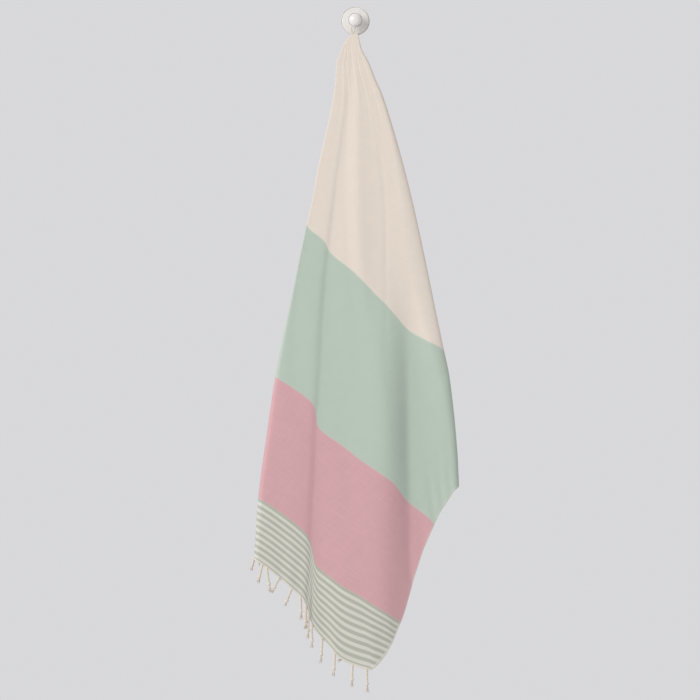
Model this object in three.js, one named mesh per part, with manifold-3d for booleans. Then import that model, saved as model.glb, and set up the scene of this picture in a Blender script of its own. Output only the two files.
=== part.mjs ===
// Hammam towel hanging by its loop on a round knob hook.
// Millimetres, +Z up. The wall is the plane y = 0, and everything hangs on its -Y side.
// The origin is the centre of the hook plate's back face.

import * as THREE from 'three';
import { mergeVertices } from 'three/addons/utils/BufferGeometryUtils.js';
import Module from 'manifold-3d';

const wasm = await Module();
wasm.setup();

// ---- Driving dimensions ------------------------------------------------------------

const TOWEL_THICK = 1.5;        // cloth with its weave
const TOWEL_HALF_LENGTH = 960;  // from the loop along the warp to a hem, as it hangs
const GATHER_X = -4.4;          // point that the cloth is gathered at, under the loop
const GATHER_Z = -25.2;
const TOP_RADIUS = 3;           // first ring of cloth below the gather
const TURN_STEPS = 2;           // columns on each side of a hidden fold
const ROLL_STEPS = 3;           // columns on each side of an outline fold
const ROWS = 26;
const PANEL_STEP = 4.8;         // degrees between the columns of a hidden panel

const STACK_TOP = 2.15;         // spacing of the layers at the gather
const STACK_LOW = 3.0;          // and near the lower edges
const STACK_REACH = 800;
const BACK_TOP = 12;            // rearmost layer's distance from the wall at the gather
const BACK_LOW = 6.5;           // and lower down
const BACK_REACH = 260;
const LAST_LAYER = 9;

const STRIP_GAP = 0.9;          // hem to fringe backing, along the drape
const STRIP_GAP_FOLD = 2.6;     // more of it where the hem climbs through the narrow fold
const FOLD_TURN = 35;
const STRIP_WIDTH = 3.2;
const STRIP_THICK = 1.5;
const TASSELS = 26;             // on each hem
const TASSEL_RADIUS = 1.5;
const TASSEL_RADIUS_HIDDEN = 0.85;
const FRONT_TASSELS = [         // place along the front hem, lean to the left, length
  { across: 467, lean: 15, length: 28 }, { across: 497, lean: 14, length: 36 },
  { across: 508, lean: -7, length: 45 }, { across: 541, lean: 27, length: 32 },
  { across: 577, lean: 22, length: 37 }, { across: 604.5, lean: -1, length: 44 },
  { across: 636, lean: 2, length: 44 }, { across: 668, lean: 3, length: 46 },
  { across: 702.6, lean: 1, length: 43 }, { across: 743, lean: 4, length: 46 },
  { across: 781.6, lean: 4, length: 43 }, { across: 798, lean: 55, length: 7 },
  { across: 815.6, lean: 2.5, length: 44 }, { across: 830, lean: 0, length: 44 },
];

const PLATE_RADIUS = 29;
const PLATE_THICK = 6;
const STEM_RADIUS = 4.5;
const KNOB_RADIUS = 14.3;
const KNOB_BACK = 27;           // distance of the knob's back from the wall
const KNOB_FRONT = 41;
const SOCKET_DEPTH = 3;
const FIT_GAP = 0.3;

const LOOP_RADIUS = 1.35;       // cord of the hanging loop
const LOOP_DEPTH = -19;         // y of the loop's plane
const LOOP_FOOT = -25.8;        // lowest centre line, sewn to the gathered edge

// ---- Tables of the drape -----------------------------------------------------------

// Outline of the hanging front, x from the gather point at each drop below it.
// Below 906 on the right it is only a guide line, because the free selvedge crosses it.
const LEFT_OUTLINE = [
  { drop: 0, x: -3.6 }, { drop: 4.4, x: -4.8 }, { drop: 22.8, x: -17.6 }, { drop: 31, x: -22.6 },
  { drop: 46, x: -27 }, { drop: 61.6, x: -32.6 }, { drop: 78, x: -34.2 }, { drop: 94, x: -34.8 },
  { drop: 112.6, x: -36.8 }, { drop: 138, x: -40.6 }, { drop: 176.4, x: -48.4 },
  { drop: 227.4, x: -60.4 }, { drop: 278.4, x: -71 }, { drop: 334, x: -81.2 },
  { drop: 385.4, x: -92.6 }, { drop: 536, x: -123.8 }, { drop: 688, x: -155 },
  { drop: 808, x: -173 }, { drop: 928, x: -189 }, { drop: 1054, x: -198 },
  { drop: 1116, x: -203 }, { drop: 1182, x: -208 }, { drop: 1300, x: -222 },
];
const RIGHT_OUTLINE = [
  { drop: 0, x: 10 }, { drop: 12, x: 11.4 }, { drop: 31, x: 16 }, { drop: 59, x: 30.6 },
  { drop: 94, x: 44.6 }, { drop: 122.8, x: 57.6 }, { drop: 189.2, x: 79 }, { drop: 252.8, x: 97 },
  { drop: 334, x: 117.6 }, { drop: 439.6, x: 140.8 }, { drop: 539.4, x: 161.2 },
  { drop: 639.2, x: 182 }, { drop: 686, x: 192 }, { drop: 744, x: 199.4 }, { drop: 794, x: 204.6 },
  { drop: 856, x: 209.4 }, { drop: 906, x: 211.6 }, { drop: 983, x: 219 }, { drop: 1057, x: 229 },
  { drop: 1148, x: 244 }, { drop: 1300, x: 272 },
];

// Place of each radial line of the front panel between the outlines, 0 left and 1 right,
// at five distances from the gather.
const FRONT_REACH = { high: 200, bend: 450, middle: 800, low: 1050, hem: 1250 };
const FRONT_LINES = [
  { turn: 26.5, high: 0, bend: 0, middle: 0, low: 0, hem: 0 },
  { turn: 28, high: 0.034, bend: 0.012, middle: 0.075, low: 0.07, hem: 0.055 },
  { turn: 29.5, high: 0.078, bend: 0.052, middle: 0.145, low: 0.13, hem: 0.115 },
  { turn: 31.2, high: 0.135, bend: 0.118, middle: 0.206, low: 0.2, hem: 0.17 },
  { turn: 32.6, high: 0.195, bend: 0.164, middle: 0.238, low: 0.252, hem: 0.225 },
  { turn: 33.6, high: 0.22, bend: 0.186, middle: 0.249, low: 0.264, hem: 0.243 },
  { turn: 35, high: 0.25, bend: 0.204, middle: 0.2555, low: 0.27, hem: 0.256 },
  { turn: 36.4, high: 0.28, bend: 0.224, middle: 0.2612, low: 0.2755, hem: 0.275 },
  { turn: 37.4, high: 0.305, bend: 0.248, middle: 0.2745, low: 0.291, hem: 0.312 },
  { turn: 38.4, high: 0.34, bend: 0.281, middle: 0.312, low: 0.332, hem: 0.35 },
  { turn: 39.8, high: 0.385, bend: 0.333, middle: 0.379, low: 0.405, hem: 0.403 },
  { turn: 41.2, high: 0.43, bend: 0.387, middle: 0.44, low: 0.478, hem: 0.525 },
  { turn: 42.6, high: 0.475, bend: 0.437, middle: 0.496, low: 0.548, hem: 0.578 },
  { turn: 44, high: 0.52, bend: 0.478, middle: 0.566, low: 0.612, hem: 0.628 },
  { turn: 46, high: 0.59, bend: 0.534, middle: 0.655, low: 0.7, hem: 0.716 },
  { turn: 48, high: 0.655, bend: 0.592, middle: 0.69, low: 0.76, hem: 0.77 },
  { turn: 50, high: 0.72, bend: 0.651, middle: 0.773, low: 0.848, hem: 0.858 },
  { turn: 52, high: 0.785, bend: 0.692, middle: 0.84, low: 0.895, hem: 0.905 },
  { turn: 54.4, high: 0.865, bend: 0.745, middle: 0.905, low: 0.945, hem: 0.95 },
  { turn: 56.4, high: 0.94, bend: 0.88, middle: 0.965, low: 0.98, hem: 0.982 },
  { turn: 58, high: 1, bend: 1, middle: 1, low: 1, hem: 1 },
];

// The folds behind the front, each with its angle on the cloth, its place between the
// outlines high and low, and the layer that the cloth reaches it on and leaves it on.
const FOLDS = [
  { name: 'long_edge_front', turn: 0, high: 0.42, low: 0.52, from: 2, to: 2, side: 0 },
  { name: 'tuck_front', turn: 7.5, high: 0.62, low: 0.79, from: 2, to: 1, side: 1 },
  { name: 'outline_left', turn: 26.5, high: 0, low: 0, from: 1, to: 0, side: -1 },
  { name: 'outline_right', turn: 58, high: 1, low: 1, from: 0, to: 3, side: 1 },
  { name: 'second_left', turn: 80.5, high: 0.2, low: 0.055, from: 3, to: 4, side: -1 },
  { name: 'third_right', turn: 103.5, high: 0.93, low: 0.945, from: 4, to: 5, side: 1 },
  { name: 'fourth_left', turn: 126.5, high: 0.2, low: 0.08, from: 5, to: 6, side: -1 },
  { name: 'corner_fold', turn: 139.5, high: 0.62, low: 0.46, from: 6, to: 7, side: 1 },
  { name: 'fifth_left', turn: 151, high: 0.24, low: 0.09, from: 7, to: 8, side: -1 },
  { name: 'tuck_back', turn: 172, high: 0.86, low: 0.87, from: 8, to: 9, side: 1 },
  { name: 'long_edge_back', turn: 180, high: 0.6, low: 0.55, from: 9, to: 9, side: 0 },
];
const FOLD_REACH = { high: 300, low: 950 };
const HIDDEN_WIDTH = 0.55;      // degrees of cloth in half a hidden fold
const ROLL = {
  outline_left: { before: 2.2, after: 0.8 },
  outline_right: { before: 1.6, after: 1.8 },
};

// Distance from the gather to the lower edge along each radial line.
const LOWER_EDGE = [
  { turn: 41.1, reach: 1275 }, { turn: 41.6, reach: 1266 }, { turn: 42.1, reach: 1255 },
  { turn: 42.6, reach: 1246 }, { turn: 43.6, reach: 1229 }, { turn: 44.8, reach: 1195 },
  { turn: 46, reach: 1144 }, { turn: 47, reach: 1111 }, { turn: 48, reach: 1082 },
  { turn: 49, reach: 1041 }, { turn: 50, reach: 1013 }, { turn: 51, reach: 997 },
  { turn: 52.4, reach: 978 }, { turn: 54.5, reach: 957 }, { turn: 56.4, reach: 940 },
  { turn: 58, reach: 932 }, { turn: 62, reach: 905 }, { turn: 70, reach: 872 },
  { turn: 80, reach: 853 }, { turn: 90, reach: 842 }, { turn: 100, reach: 853 },
  { turn: 110, reach: 894 }, { turn: 120, reach: 970 }, { turn: 127, reach: 1052 },
  { turn: 133, reach: 1148 }, { turn: 138.9, reach: 1274 },
];
const FRONT_CORNER = 41.1;
const BACK_CORNER = 138.9;

// Hidden cloth sags in small ripples, so that it reaches a little less far.
const SLACK = [
  { turn: 0, share: 0.965 }, { turn: 20, share: 0.975 }, { turn: 25.6, share: 1 },
  { turn: 59, share: 1 }, { turn: 67, share: 0.965 }, { turn: 180, share: 0.965 },
];

// The lower right of the front is hitched up a little by the free edge beside it.
const LIFT = [
  { turn: 0, up: 0 }, { turn: 42, up: 0 }, { turn: 42.8, up: 3 }, { turn: 43.6, up: 9 },
  { turn: 44.6, up: 17 }, { turn: 46, up: 16 }, { turn: 49, up: 4 }, { turn: 52, up: 0 },
  { turn: 180, up: 0 },
];
const LIFT_REACH = { start: 1000, end: 1160 };

// Relief of the front panel, in millimetres towards the room.
const VALLEY_X = [
  { drop: 0, x: 4 }, { drop: 154, x: 30 }, { drop: 300, x: 64 }, { drop: 434, x: 92 },
  { drop: 552, x: 105 }, { drop: 686, x: 109 }, { drop: 826, x: 111 }, { drop: 938, x: 114 },
  { drop: 1050, x: 116 }, { drop: 1300, x: 116 },
];
const CREST_X = [
  { drop: 0, x: 2 }, { drop: 154, x: 11 }, { drop: 300, x: 13 }, { drop: 434, x: 17 },
  { drop: 504, x: 23 }, { drop: 552, x: 30 }, { drop: 686, x: 46 }, { drop: 826, x: 57 },
  { drop: 920, x: 57 }, { drop: 1050, x: 50 }, { drop: 1300, x: 36 },
];
const RELIEF = [
  { drop: 0, crest: 0, right: 0, groove: 0, swell: 0 },
  { drop: 60, crest: 0.6, right: 0.8, groove: 0.2, swell: 0.6 },
  { drop: 154, crest: 2.2, right: 2.4, groove: 0.9, swell: 2.2 },
  { drop: 300, crest: 5, right: 5.5, groove: 1.8, swell: 3.6 },
  { drop: 434, crest: 10, right: 9, groove: 2.6, swell: 3.6 },
  { drop: 552, crest: 16, right: 14, groove: 3, swell: 1.6 },
  { drop: 640, crest: 22, right: 17, groove: 3.2, swell: 1 },
  { drop: 700, crest: 25, right: 15, groove: 3.4, swell: 0.8 },
  { drop: 800, crest: 27, right: 13, groove: 3.6, swell: 0.8 },
  { drop: 900, crest: 26, right: 12, groove: 3.8, swell: 0.8 },
  { drop: 1300, crest: 22, right: 12, groove: 4.2, swell: 0.8 },
];
const SWELL_WIDTH = { top: 8, low: 32 };
const GROOVE_X = [              // the narrow fold on the left of the front
  { drop: 60, x: -5 }, { drop: 140, x: -11 }, { drop: 280, x: -29 }, { drop: 392, x: -42 },
  { drop: 504, x: -54 }, { drop: 644, x: -62.5 }, { drop: 728, x: -67 }, { drop: 784, x: -72 },
  { drop: 896, x: -76 }, { drop: 980, x: -80.5 }, { drop: 1050, x: -81 }, { drop: 1300, x: -80 },
];
const GROOVE_WIDTH = { top: 5, low: 9 };
const GROOVE_EASE = 3.6;        // how much wider the groove is on its right
const VALLEY_SOFT = 5;

// ---- Curves through the tables -----------------------------------------------------

const clamp = (v, low, high) => Math.min(high, Math.max(low, v));
const mix = (a, b, s) => a + (b - a) * s;
const radians = (a) => (a * Math.PI) / 180;

function ease(v, start, end) {
  const s = clamp((v - start) / (end - start), 0, 1);
  return s * s * (3 - 2 * s);
}

// Smooth curve that passes the table's points and doesn't swing past them.
function follow(table, key, value, at) {
  const last = table.length - 1;
  if (at <= table[0][key]) return table[0][value];
  if (at >= table[last][key]) return table[last][value];
  let i = 0;
  while (at > table[i + 1][key]) i += 1;
  const rise = (j) => (table[j + 1][value] - table[j][value]) / (table[j + 1][key] - table[j][key]);
  const tangent = (j) => {
    if (j === 0) return rise(0);
    if (j === last) return rise(last - 1);
    const a = rise(j - 1);
    const b = rise(j);
    if (a * b <= 0) return 0;
    return (2 * a * b) / (a + b);
  };
  const width = table[i + 1][key] - table[i][key];
  const s = (at - table[i][key]) / width;
  const a = tangent(i) * width;
  const b = tangent(i + 1) * width;
  const s2 = s * s;
  const s3 = s2 * s;
  return (2 * s3 - 3 * s2 + 1) * table[i][value] + (s3 - 2 * s2 + s) * a
    + (3 * s2 - 2 * s3) * table[i + 1][value] + (s3 - s2) * b;
}

// ---- The drape ---------------------------------------------------------------------

function lowerReach(turn) {
  if (turn <= FRONT_CORNER) return TOWEL_HALF_LENGTH / Math.cos(radians(turn));
  if (turn >= BACK_CORNER) return TOWEL_HALF_LENGTH / Math.abs(Math.cos(radians(turn)));
  return follow(LOWER_EDGE, 'turn', 'reach', turn);
}

function frontPlace(turn, reach) {
  const rows = Object.entries(FRONT_REACH).map(([level, distance]) => (
    { distance, place: follow(FRONT_LINES, 'turn', level, turn) }));
  return follow(rows, 'distance', 'place', reach);
}

function spacing(reach) {
  return mix(STACK_TOP, STACK_LOW, ease(reach, 0, STACK_REACH));
}

function ripple(x, drop) {
  const grow = ease(drop, 120, 700);
  return 1.8 * grow * Math.sin(x / 38 + drop / 310);
}

function layerDepth(layer, reach, x, drop) {
  const back = mix(BACK_TOP, BACK_LOW, ease(reach, 0, BACK_REACH));
  return -(back + (LAST_LAYER - layer) * spacing(reach)) + ripple(x, drop);
}

function softMax(a, b, soft) {
  const d = a - b;
  return 0.5 * (a + b + Math.sqrt(d * d + soft * soft)) - 0.5 * soft;
}

function frontRelief(reach, x, drop) {
  const valley = follow(VALLEY_X, 'drop', 'x', drop);
  const crest = follow(CREST_X, 'drop', 'x', drop);
  const right = follow(RIGHT_OUTLINE, 'drop', 'x', drop);
  const tall = follow(RELIEF, 'drop', 'crest', drop);
  const side = follow(RELIEF, 'drop', 'right', drop);
  const groove = follow(RELIEF, 'drop', 'groove', drop);
  const swell = follow(RELIEF, 'drop', 'swell', drop);
  const past = (x - crest) / (valley - crest);
  const down = clamp(0.5 * (past + Math.sqrt(past * past + 0.006)), 0, 1.3);
  const hollow = 1 - Math.sign(1 - down) * Math.abs(1 - down) ** 1.5;
  const fall = tall * (1 - mix(hollow, down ** 2.1, ease(drop, 400, 620)));
  const up = side * (x - valley) / Math.max(8, right - valley);
  const soft = VALLEY_SOFT * ease(drop, 0, 500) + 0.5;
  const body = softMax(softMax(fall, up, soft), 0, soft);
  const off = x - follow(GROOVE_X, 'drop', 'x', drop);
  const wide = mix(GROOVE_WIDTH.top, GROOVE_WIDTH.low, ease(drop, 100, 700))
    * (off > 0 ? GROOVE_EASE : 1);
  const pinch = groove * Math.exp(-((off / wide) ** 2));
  const swellWidth = mix(SWELL_WIDTH.top, SWELL_WIDTH.low, ease(drop, 0, 300));
  return body - pinch + swell * ease((x - crest) / swellWidth, -1, 0);
}

function frontDepth(reach, x, drop) {
  return layerDepth(1, reach, x, drop) - spacing(reach) - frontRelief(reach, x, drop);
}

function foldWidths(fold) {
  return ROLL[fold.name] ?? { before: HIDDEN_WIDTH, after: HIDDEN_WIDTH };
}

function foldPlace(fold, reach) {
  return mix(fold.high, fold.low, ease(reach, FOLD_REACH.high, FOLD_REACH.low));
}

// How far a fold's two flats lie inside its outermost line.
function foldBulge(fold, reach, left, right) {
  if (fold.side === 0) return 0;
  const { after, before } = foldWidths(fold);
  if (fold.name === 'outline_left') return frontPlace(fold.turn + after, reach) * (right - left);
  if (fold.name === 'outline_right') {
    return (1 - frontPlace(fold.turn - before, reach)) * (right - left);
  }
  return spacing(reach) / 2;
}

function flatDepth(layer, reach, x, drop) {
  if (layer === 0) return frontDepth(reach, x, drop);
  return layerDepth(layer, reach, x, drop);
}

// One point of the cloth's middle surface. turn is the angle on the cloth from the warp
// line through the loop, reach the distance from the gather.
function drape(turn, reach) {
  const slack = follow(SLACK, 'turn', 'share', turn);
  const near = reach * mix(1, slack, ease(reach, 60, 500))
    - follow(LIFT, 'turn', 'up', turn) * ease(reach, LIFT_REACH.start, LIFT_REACH.end);
  let panel = 0;
  while (panel < FOLDS.length - 2 && turn > FOLDS[panel + 1].turn) panel += 1;
  const first = FOLDS[panel];
  const second = FOLDS[panel + 1];
  let lean = 0;
  let x = 0;
  let y = 0;
  let drop = near;
  for (let pass = 0; pass < 4; pass += 1) {
    drop = near * Math.cos(lean);
    const left = follow(LEFT_OUTLINE, 'drop', 'x', drop);
    const right = follow(RIGHT_OUTLINE, 'drop', 'x', drop);
    const width = right - left;
    const startX = left + foldPlace(first, near) * width;
    const endX = left + foldPlace(second, near) * width;
    const startBulge = foldBulge(first, near, left, right);
    const endBulge = foldBulge(second, near, left, right);
    const startTurn = first.turn + (first.side === 0 ? 0 : foldWidths(first).after);
    const endTurn = second.turn - (second.side === 0 ? 0 : foldWidths(second).before);
    const flatStart = startX - first.side * startBulge;
    const flatEnd = endX - second.side * endBulge;
    const layer = first.to;
    if (turn < startTurn) {
      const angle = ((turn - first.turn) / (startTurn - first.turn)) * (Math.PI / 2);
      x = startX - first.side * startBulge * (1 - Math.cos(angle));
      const a = flatDepth(first.from, near, flatStart, drop);
      const b = flatDepth(layer, near, flatStart, drop);
      y = mix(a, b, 0.5 + 0.5 * Math.sin(angle));
    } else if (turn > endTurn) {
      const angle = ((turn - second.turn) / (second.turn - endTurn)) * (Math.PI / 2);
      x = endX - second.side * endBulge * (1 - Math.cos(angle));
      const a = flatDepth(layer, near, flatEnd, drop);
      const b = flatDepth(second.to, near, flatEnd, drop);
      y = mix(a, b, 0.5 + 0.5 * Math.sin(angle));
    } else {
      const share = (turn - startTurn) / (endTurn - startTurn);
      x = layer === 0 ? left + frontPlace(turn, near) * width : mix(flatStart, flatEnd, share);
      y = flatDepth(layer, near, x, drop);
    }
    lean = clamp(Math.atan2(x, Math.max(drop, 1)), -0.28, 0.28);
  }
  return new THREE.Vector3(GATHER_X + x, y, GATHER_Z - drop);
}

function columnTurns() {
  const turns = new Set([FRONT_CORNER, BACK_CORNER]);
  for (const line of FRONT_LINES.slice(1, -1)) turns.add(line.turn);
  for (const extra of [30.4, 34.3, 45, 47, 49, 51, 53.2]) {
    turns.add(extra);
  }
  for (let i = 0; i < FOLDS.length; i += 1) {
    const fold = FOLDS[i];
    const { before, after } = foldWidths(fold);
    const steps = ROLL[fold.name] ? ROLL_STEPS : TURN_STEPS;
    turns.add(fold.turn);
    for (let k = 1; k <= steps; k += 1) {
      if (fold.side !== 0) {
        turns.add(fold.turn - (before * k) / steps);
        turns.add(fold.turn + (after * k) / steps);
      }
    }
    const next = FOLDS[i + 1];
    if (next && fold.to !== 0) {
      const start = fold.turn + (fold.side === 0 ? 0 : after);
      const end = next.turn - (next.side === 0 ? 0 : foldWidths(next).before);
      const count = Math.ceil((end - start) / PANEL_STEP);
      for (let k = 1; k < count; k += 1) turns.add(mix(start, end, k / count));
    }
  }
  const sorted = [...turns].sort((a, b) => a - b);
  return sorted.filter((t, i) => i === 0 || t - sorted[i - 1] > 0.12);
}

// ---- Solids ------------------------------------------------------------------------

function solidFrom(positions, triangles) {
  const geometry = new THREE.BufferGeometry();
  geometry.setAttribute('position', new THREE.Float32BufferAttribute(positions, 3));
  geometry.setIndex(triangles);
  return outward(geometry);
}

function outward(geometry) {
  const p = geometry.attributes.position;
  const index = [...geometry.index.array];
  const a = new THREE.Vector3();
  const b = new THREE.Vector3();
  const c = new THREE.Vector3();
  let volume = 0;
  for (let i = 0; i < index.length; i += 3) {
    a.fromBufferAttribute(p, index[i]);
    b.fromBufferAttribute(p, index[i + 1]);
    c.fromBufferAttribute(p, index[i + 2]);
    volume += a.dot(b.cross(c));
  }
  if (volume < 0) {
    for (let i = 0; i < index.length; i += 3) {
      [index[i + 1], index[i + 2]] = [index[i + 2], index[i + 1]];
    }
    geometry.setIndex(index);
  }
  return geometry;
}

function closedLathe(profile, segments) {
  const points = profile.map(([radius, height]) => new THREE.Vector2(radius, height));
  const lathe = new THREE.LatheGeometry(points, segments);
  lathe.deleteAttribute('normal');
  lathe.deleteAttribute('uv');
  return outward(dropFlats(mergeVertices(lathe, 1e-4)));
}

function dropFlats(geometry) {
  const index = geometry.index.array;
  const kept = [];
  for (let i = 0; i < index.length; i += 3) {
    const [a, b, c] = [index[i], index[i + 1], index[i + 2]];
    if (a !== b && b !== c && a !== c) kept.push(a, b, c);
  }
  geometry.setIndex(kept);
  return geometry;
}

// A sheet of even thickness around a grid of middle points, grid[column][row].
function sheetSolid(grid, thick) {
  const columns = grid.length;
  const rows = grid[0].length;
  const positions = [];
  const normal = (i, j) => {
    const across = grid[Math.min(i + 1, columns - 1)][j].clone()
      .sub(grid[Math.max(i - 1, 0)][j]);
    const along = grid[i][Math.min(j + 1, rows - 1)].clone().sub(grid[i][Math.max(j - 1, 0)]);
    return across.cross(along).normalize();
  };
  for (const side of [1, -1]) {
    for (let i = 0; i < columns; i += 1) {
      for (let j = 0; j < rows; j += 1) {
        const p = grid[i][j].clone().addScaledVector(normal(i, j), (side * thick) / 2);
        positions.push(p.x, p.y, p.z);
      }
    }
  }
  const total = columns * rows;
  const at = (i, j) => i * rows + j;
  const triangles = [];
  const quad = (a, b, c, d) => triangles.push(a, b, c, a, c, d);
  for (let i = 0; i + 1 < columns; i += 1) {
    for (let j = 0; j + 1 < rows; j += 1) {
      const [a, b, c, d] = [at(i, j), at(i + 1, j), at(i + 1, j + 1), at(i, j + 1)];
      quad(a, b, c, d);
      quad(total + d, total + c, total + b, total + a);
    }
  }
  const rim = [];
  for (let i = 0; i + 1 < columns; i += 1) rim.push([at(i + 1, 0), at(i, 0)]);
  for (let j = 0; j + 1 < rows; j += 1) rim.push([at(0, j), at(0, j + 1)]);
  for (let i = 0; i + 1 < columns; i += 1) rim.push([at(i, rows - 1), at(i + 1, rows - 1)]);
  for (let j = 0; j + 1 < rows; j += 1) rim.push([at(columns - 1, j + 1), at(columns - 1, j)]);
  for (const [a, b] of rim) quad(a, b, total + b, total + a);
  return solidFrom(positions, triangles);
}

function toManifold(geometry) {
  const bare = geometry.clone();
  bare.deleteAttribute('normal');
  bare.deleteAttribute('uv');
  const merged = dropFlats(mergeVertices(bare, 1e-5));
  return new wasm.Manifold(new wasm.Mesh({
    numProp: 3,
    vertProperties: new Float32Array(merged.attributes.position.array),
    triVerts: new Uint32Array(merged.index.array),
  }));
}

function fromManifold(manifold) {
  const mesh = manifold.getMesh();
  const geometry = new THREE.BufferGeometry();
  geometry.setAttribute('position', new THREE.Float32BufferAttribute(mesh.vertProperties, 3));
  geometry.setIndex([...mesh.triVerts]);
  return geometry;
}

// ---- Towel -------------------------------------------------------------------------

function towelGeometry() {
  const grid = columnTurns().map((turn) => {
    const end = lowerReach(turn);
    const column = [];
    for (let j = 0; j < ROWS; j += 1) {
      const share = (j / (ROWS - 1)) ** 1.3;
      column.push(drape(turn, mix(TOP_RADIUS, end, share)));
    }
    return column;
  });
  return sheetSolid(grid, TOWEL_THICK);
}

// ---- Fringe ------------------------------------------------------------------------

// A three-sided strand that hangs from a root and narrows a little.
function strand(root, length, radius, sway) {
  const sides = 3;
  const positions = [];
  for (const [fall, share, swing] of [[-0.7, 0.8, 0], [length * 0.5, 1, 0.5], [length, 0.72, 1]]) {
    for (let k = 0; k < sides; k += 1) {
      const angle = (k / sides) * 2 * Math.PI + Math.PI / 2;
      positions.push(
        root.x + sway * swing + Math.cos(angle) * radius * share,
        root.y - Math.sin(angle) * radius * share,
        root.z - fall,
      );
    }
  }
  const triangles = [0, 1, 2, 6, 8, 7];
  for (const ring of [0, 3]) {
    for (let k = 0; k < sides; k += 1) {
      const a = ring + k;
      const b = ring + ((k + 1) % sides);
      triangles.push(a, a + sides, b, b, a + sides, b + sides);
    }
  }
  return solidFrom(positions, triangles);
}

function fringeGeometry(startTurn, endTurn) {
  const turns = [startTurn + 0.15, endTurn - 0.15];
  for (const turn of columnTurns()) {
    if (turn > startTurn + 0.4 && turn < endTurn - 0.4) turns.push(turn);
  }
  turns.sort((a, b) => a - b);
  const hemReach = (turn) => TOWEL_HALF_LENGTH / Math.abs(Math.cos(radians(turn)));
  const gap = (turn) => STRIP_GAP + STRIP_GAP_FOLD * Math.exp(-(((turn - FOLD_TURN) / 2.2) ** 2));
  const grid = turns.map((turn) => {
    const end = hemReach(turn) + gap(turn);
    return [drape(turn, end), drape(turn, end + STRIP_WIDTH)];
  });
  let whole = toManifold(sheetSolid(grid, STRIP_THICK));
  const back = startTurn > 90;
  const hemWidth = TOWEL_HALF_LENGTH * Math.tan(radians(FRONT_CORNER));
  let tassels = Array.from({ length: TASSELS }, (_, i) => ({
    across: ((i + 0.5) / TASSELS) * hemWidth, lean: 0.8 * Math.sin(i * 2.4), length: 34,
    radius: TASSEL_RADIUS_HIDDEN,
  }));
  if (!back) {
    tassels = tassels.filter((t) => t.across < FRONT_TASSELS[0].across - 12);
    tassels.push(...FRONT_TASSELS.map((t) => ({ ...t, radius: TASSEL_RADIUS })));
  }
  for (const { across, lean, length, radius } of tassels) {
    const angle = (Math.atan(across / TOWEL_HALF_LENGTH) * 180) / Math.PI;
    const turn = back ? 180 - angle : angle;
    if (turn < startTurn + 0.5 || turn > endTurn - 0.1) continue;
    const root = drape(turn, hemReach(turn) + gap(turn) + STRIP_WIDTH * 0.85);
    const tilt = radians(lean);
    whole = whole.add(toManifold(strand(root, length * Math.cos(tilt), radius,
      -length * Math.sin(tilt))));
  }
  return fromManifold(whole);
}

// ---- Hanging loop ------------------------------------------------------------------

class LoopCurve extends THREE.Curve {
  constructor() {
    super();
    const over = STEM_RADIUS + LOOP_RADIUS + FIT_GAP;
    const points = [];
    for (let k = 0; k <= 8; k += 1) {
      const angle = Math.PI - (k / 8) * Math.PI;
      points.push([Math.cos(angle) * over, Math.sin(angle) * over]);
    }
    points.push([3.6, -8], [1, -15], [-1.4, -21.5], [-3.2, LOOP_FOOT], [-5.6, LOOP_FOOT]);
    points.push([-7.3, -21.5], [-7.2, -15], [-6.6, -8]);
    this.path = new THREE.CatmullRomCurve3(
      points.map(([x, z]) => new THREE.Vector3(x, LOOP_DEPTH, z)), true, 'centripetal');
  }

  getPoint(t, target = new THREE.Vector3()) {
    return this.path.getPoint(t, target);
  }
}

function loopGeometry() {
  const curve = new LoopCurve();
  const steps = 44;
  const sides = 8;
  const positions = [];
  const triangles = [];
  for (let i = 0; i < steps; i += 1) {
    const centre = curve.getPointAt(i / steps);
    const along = curve.getTangentAt(i / steps);
    const out = new THREE.Vector3(along.z, 0, -along.x).normalize();
    for (let k = 0; k < sides; k += 1) {
      const angle = (k / sides) * 2 * Math.PI;
      const p = centre.clone().addScaledVector(out, Math.cos(angle) * LOOP_RADIUS);
      positions.push(p.x, p.y + Math.sin(angle) * LOOP_RADIUS, p.z);
    }
  }
  for (let i = 0; i < steps; i += 1) {
    for (let k = 0; k < sides; k += 1) {
      const a = i * sides + k;
      const b = i * sides + ((k + 1) % sides);
      const c = ((i + 1) % steps) * sides + k;
      const d = ((i + 1) % steps) * sides + ((k + 1) % sides);
      triangles.push(a, c, b, b, c, d);
    }
  }
  return solidFrom(positions, triangles);
}

// ---- Hook --------------------------------------------------------------------------

function plateGeometry() {
  const seat = PLATE_THICK - SOCKET_DEPTH;
  const bore = STEM_RADIUS + FIT_GAP;
  return closedLathe([
    [0, 0], [PLATE_RADIUS - 1.2, 0], [PLATE_RADIUS, -1.2], [PLATE_RADIUS, -3],
    [PLATE_RADIUS - 0.8, -4.1], [PLATE_RADIUS - 2.6, -4.6], [PLATE_RADIUS - 6, -4.9],
    [PLATE_RADIUS - 13, -PLATE_THICK + 0.3], [bore + 4, -PLATE_THICK], [bore, -PLATE_THICK],
    [bore, -seat], [0, -seat],
  ], 48);
}

function stemGeometry() {
  const start = PLATE_THICK - SOCKET_DEPTH + FIT_GAP;
  const end = KNOB_BACK + SOCKET_DEPTH - FIT_GAP;
  return closedLathe([[0, -start], [STEM_RADIUS, -start], [STEM_RADIUS, -end], [0, -end]], 24);
}

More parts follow.
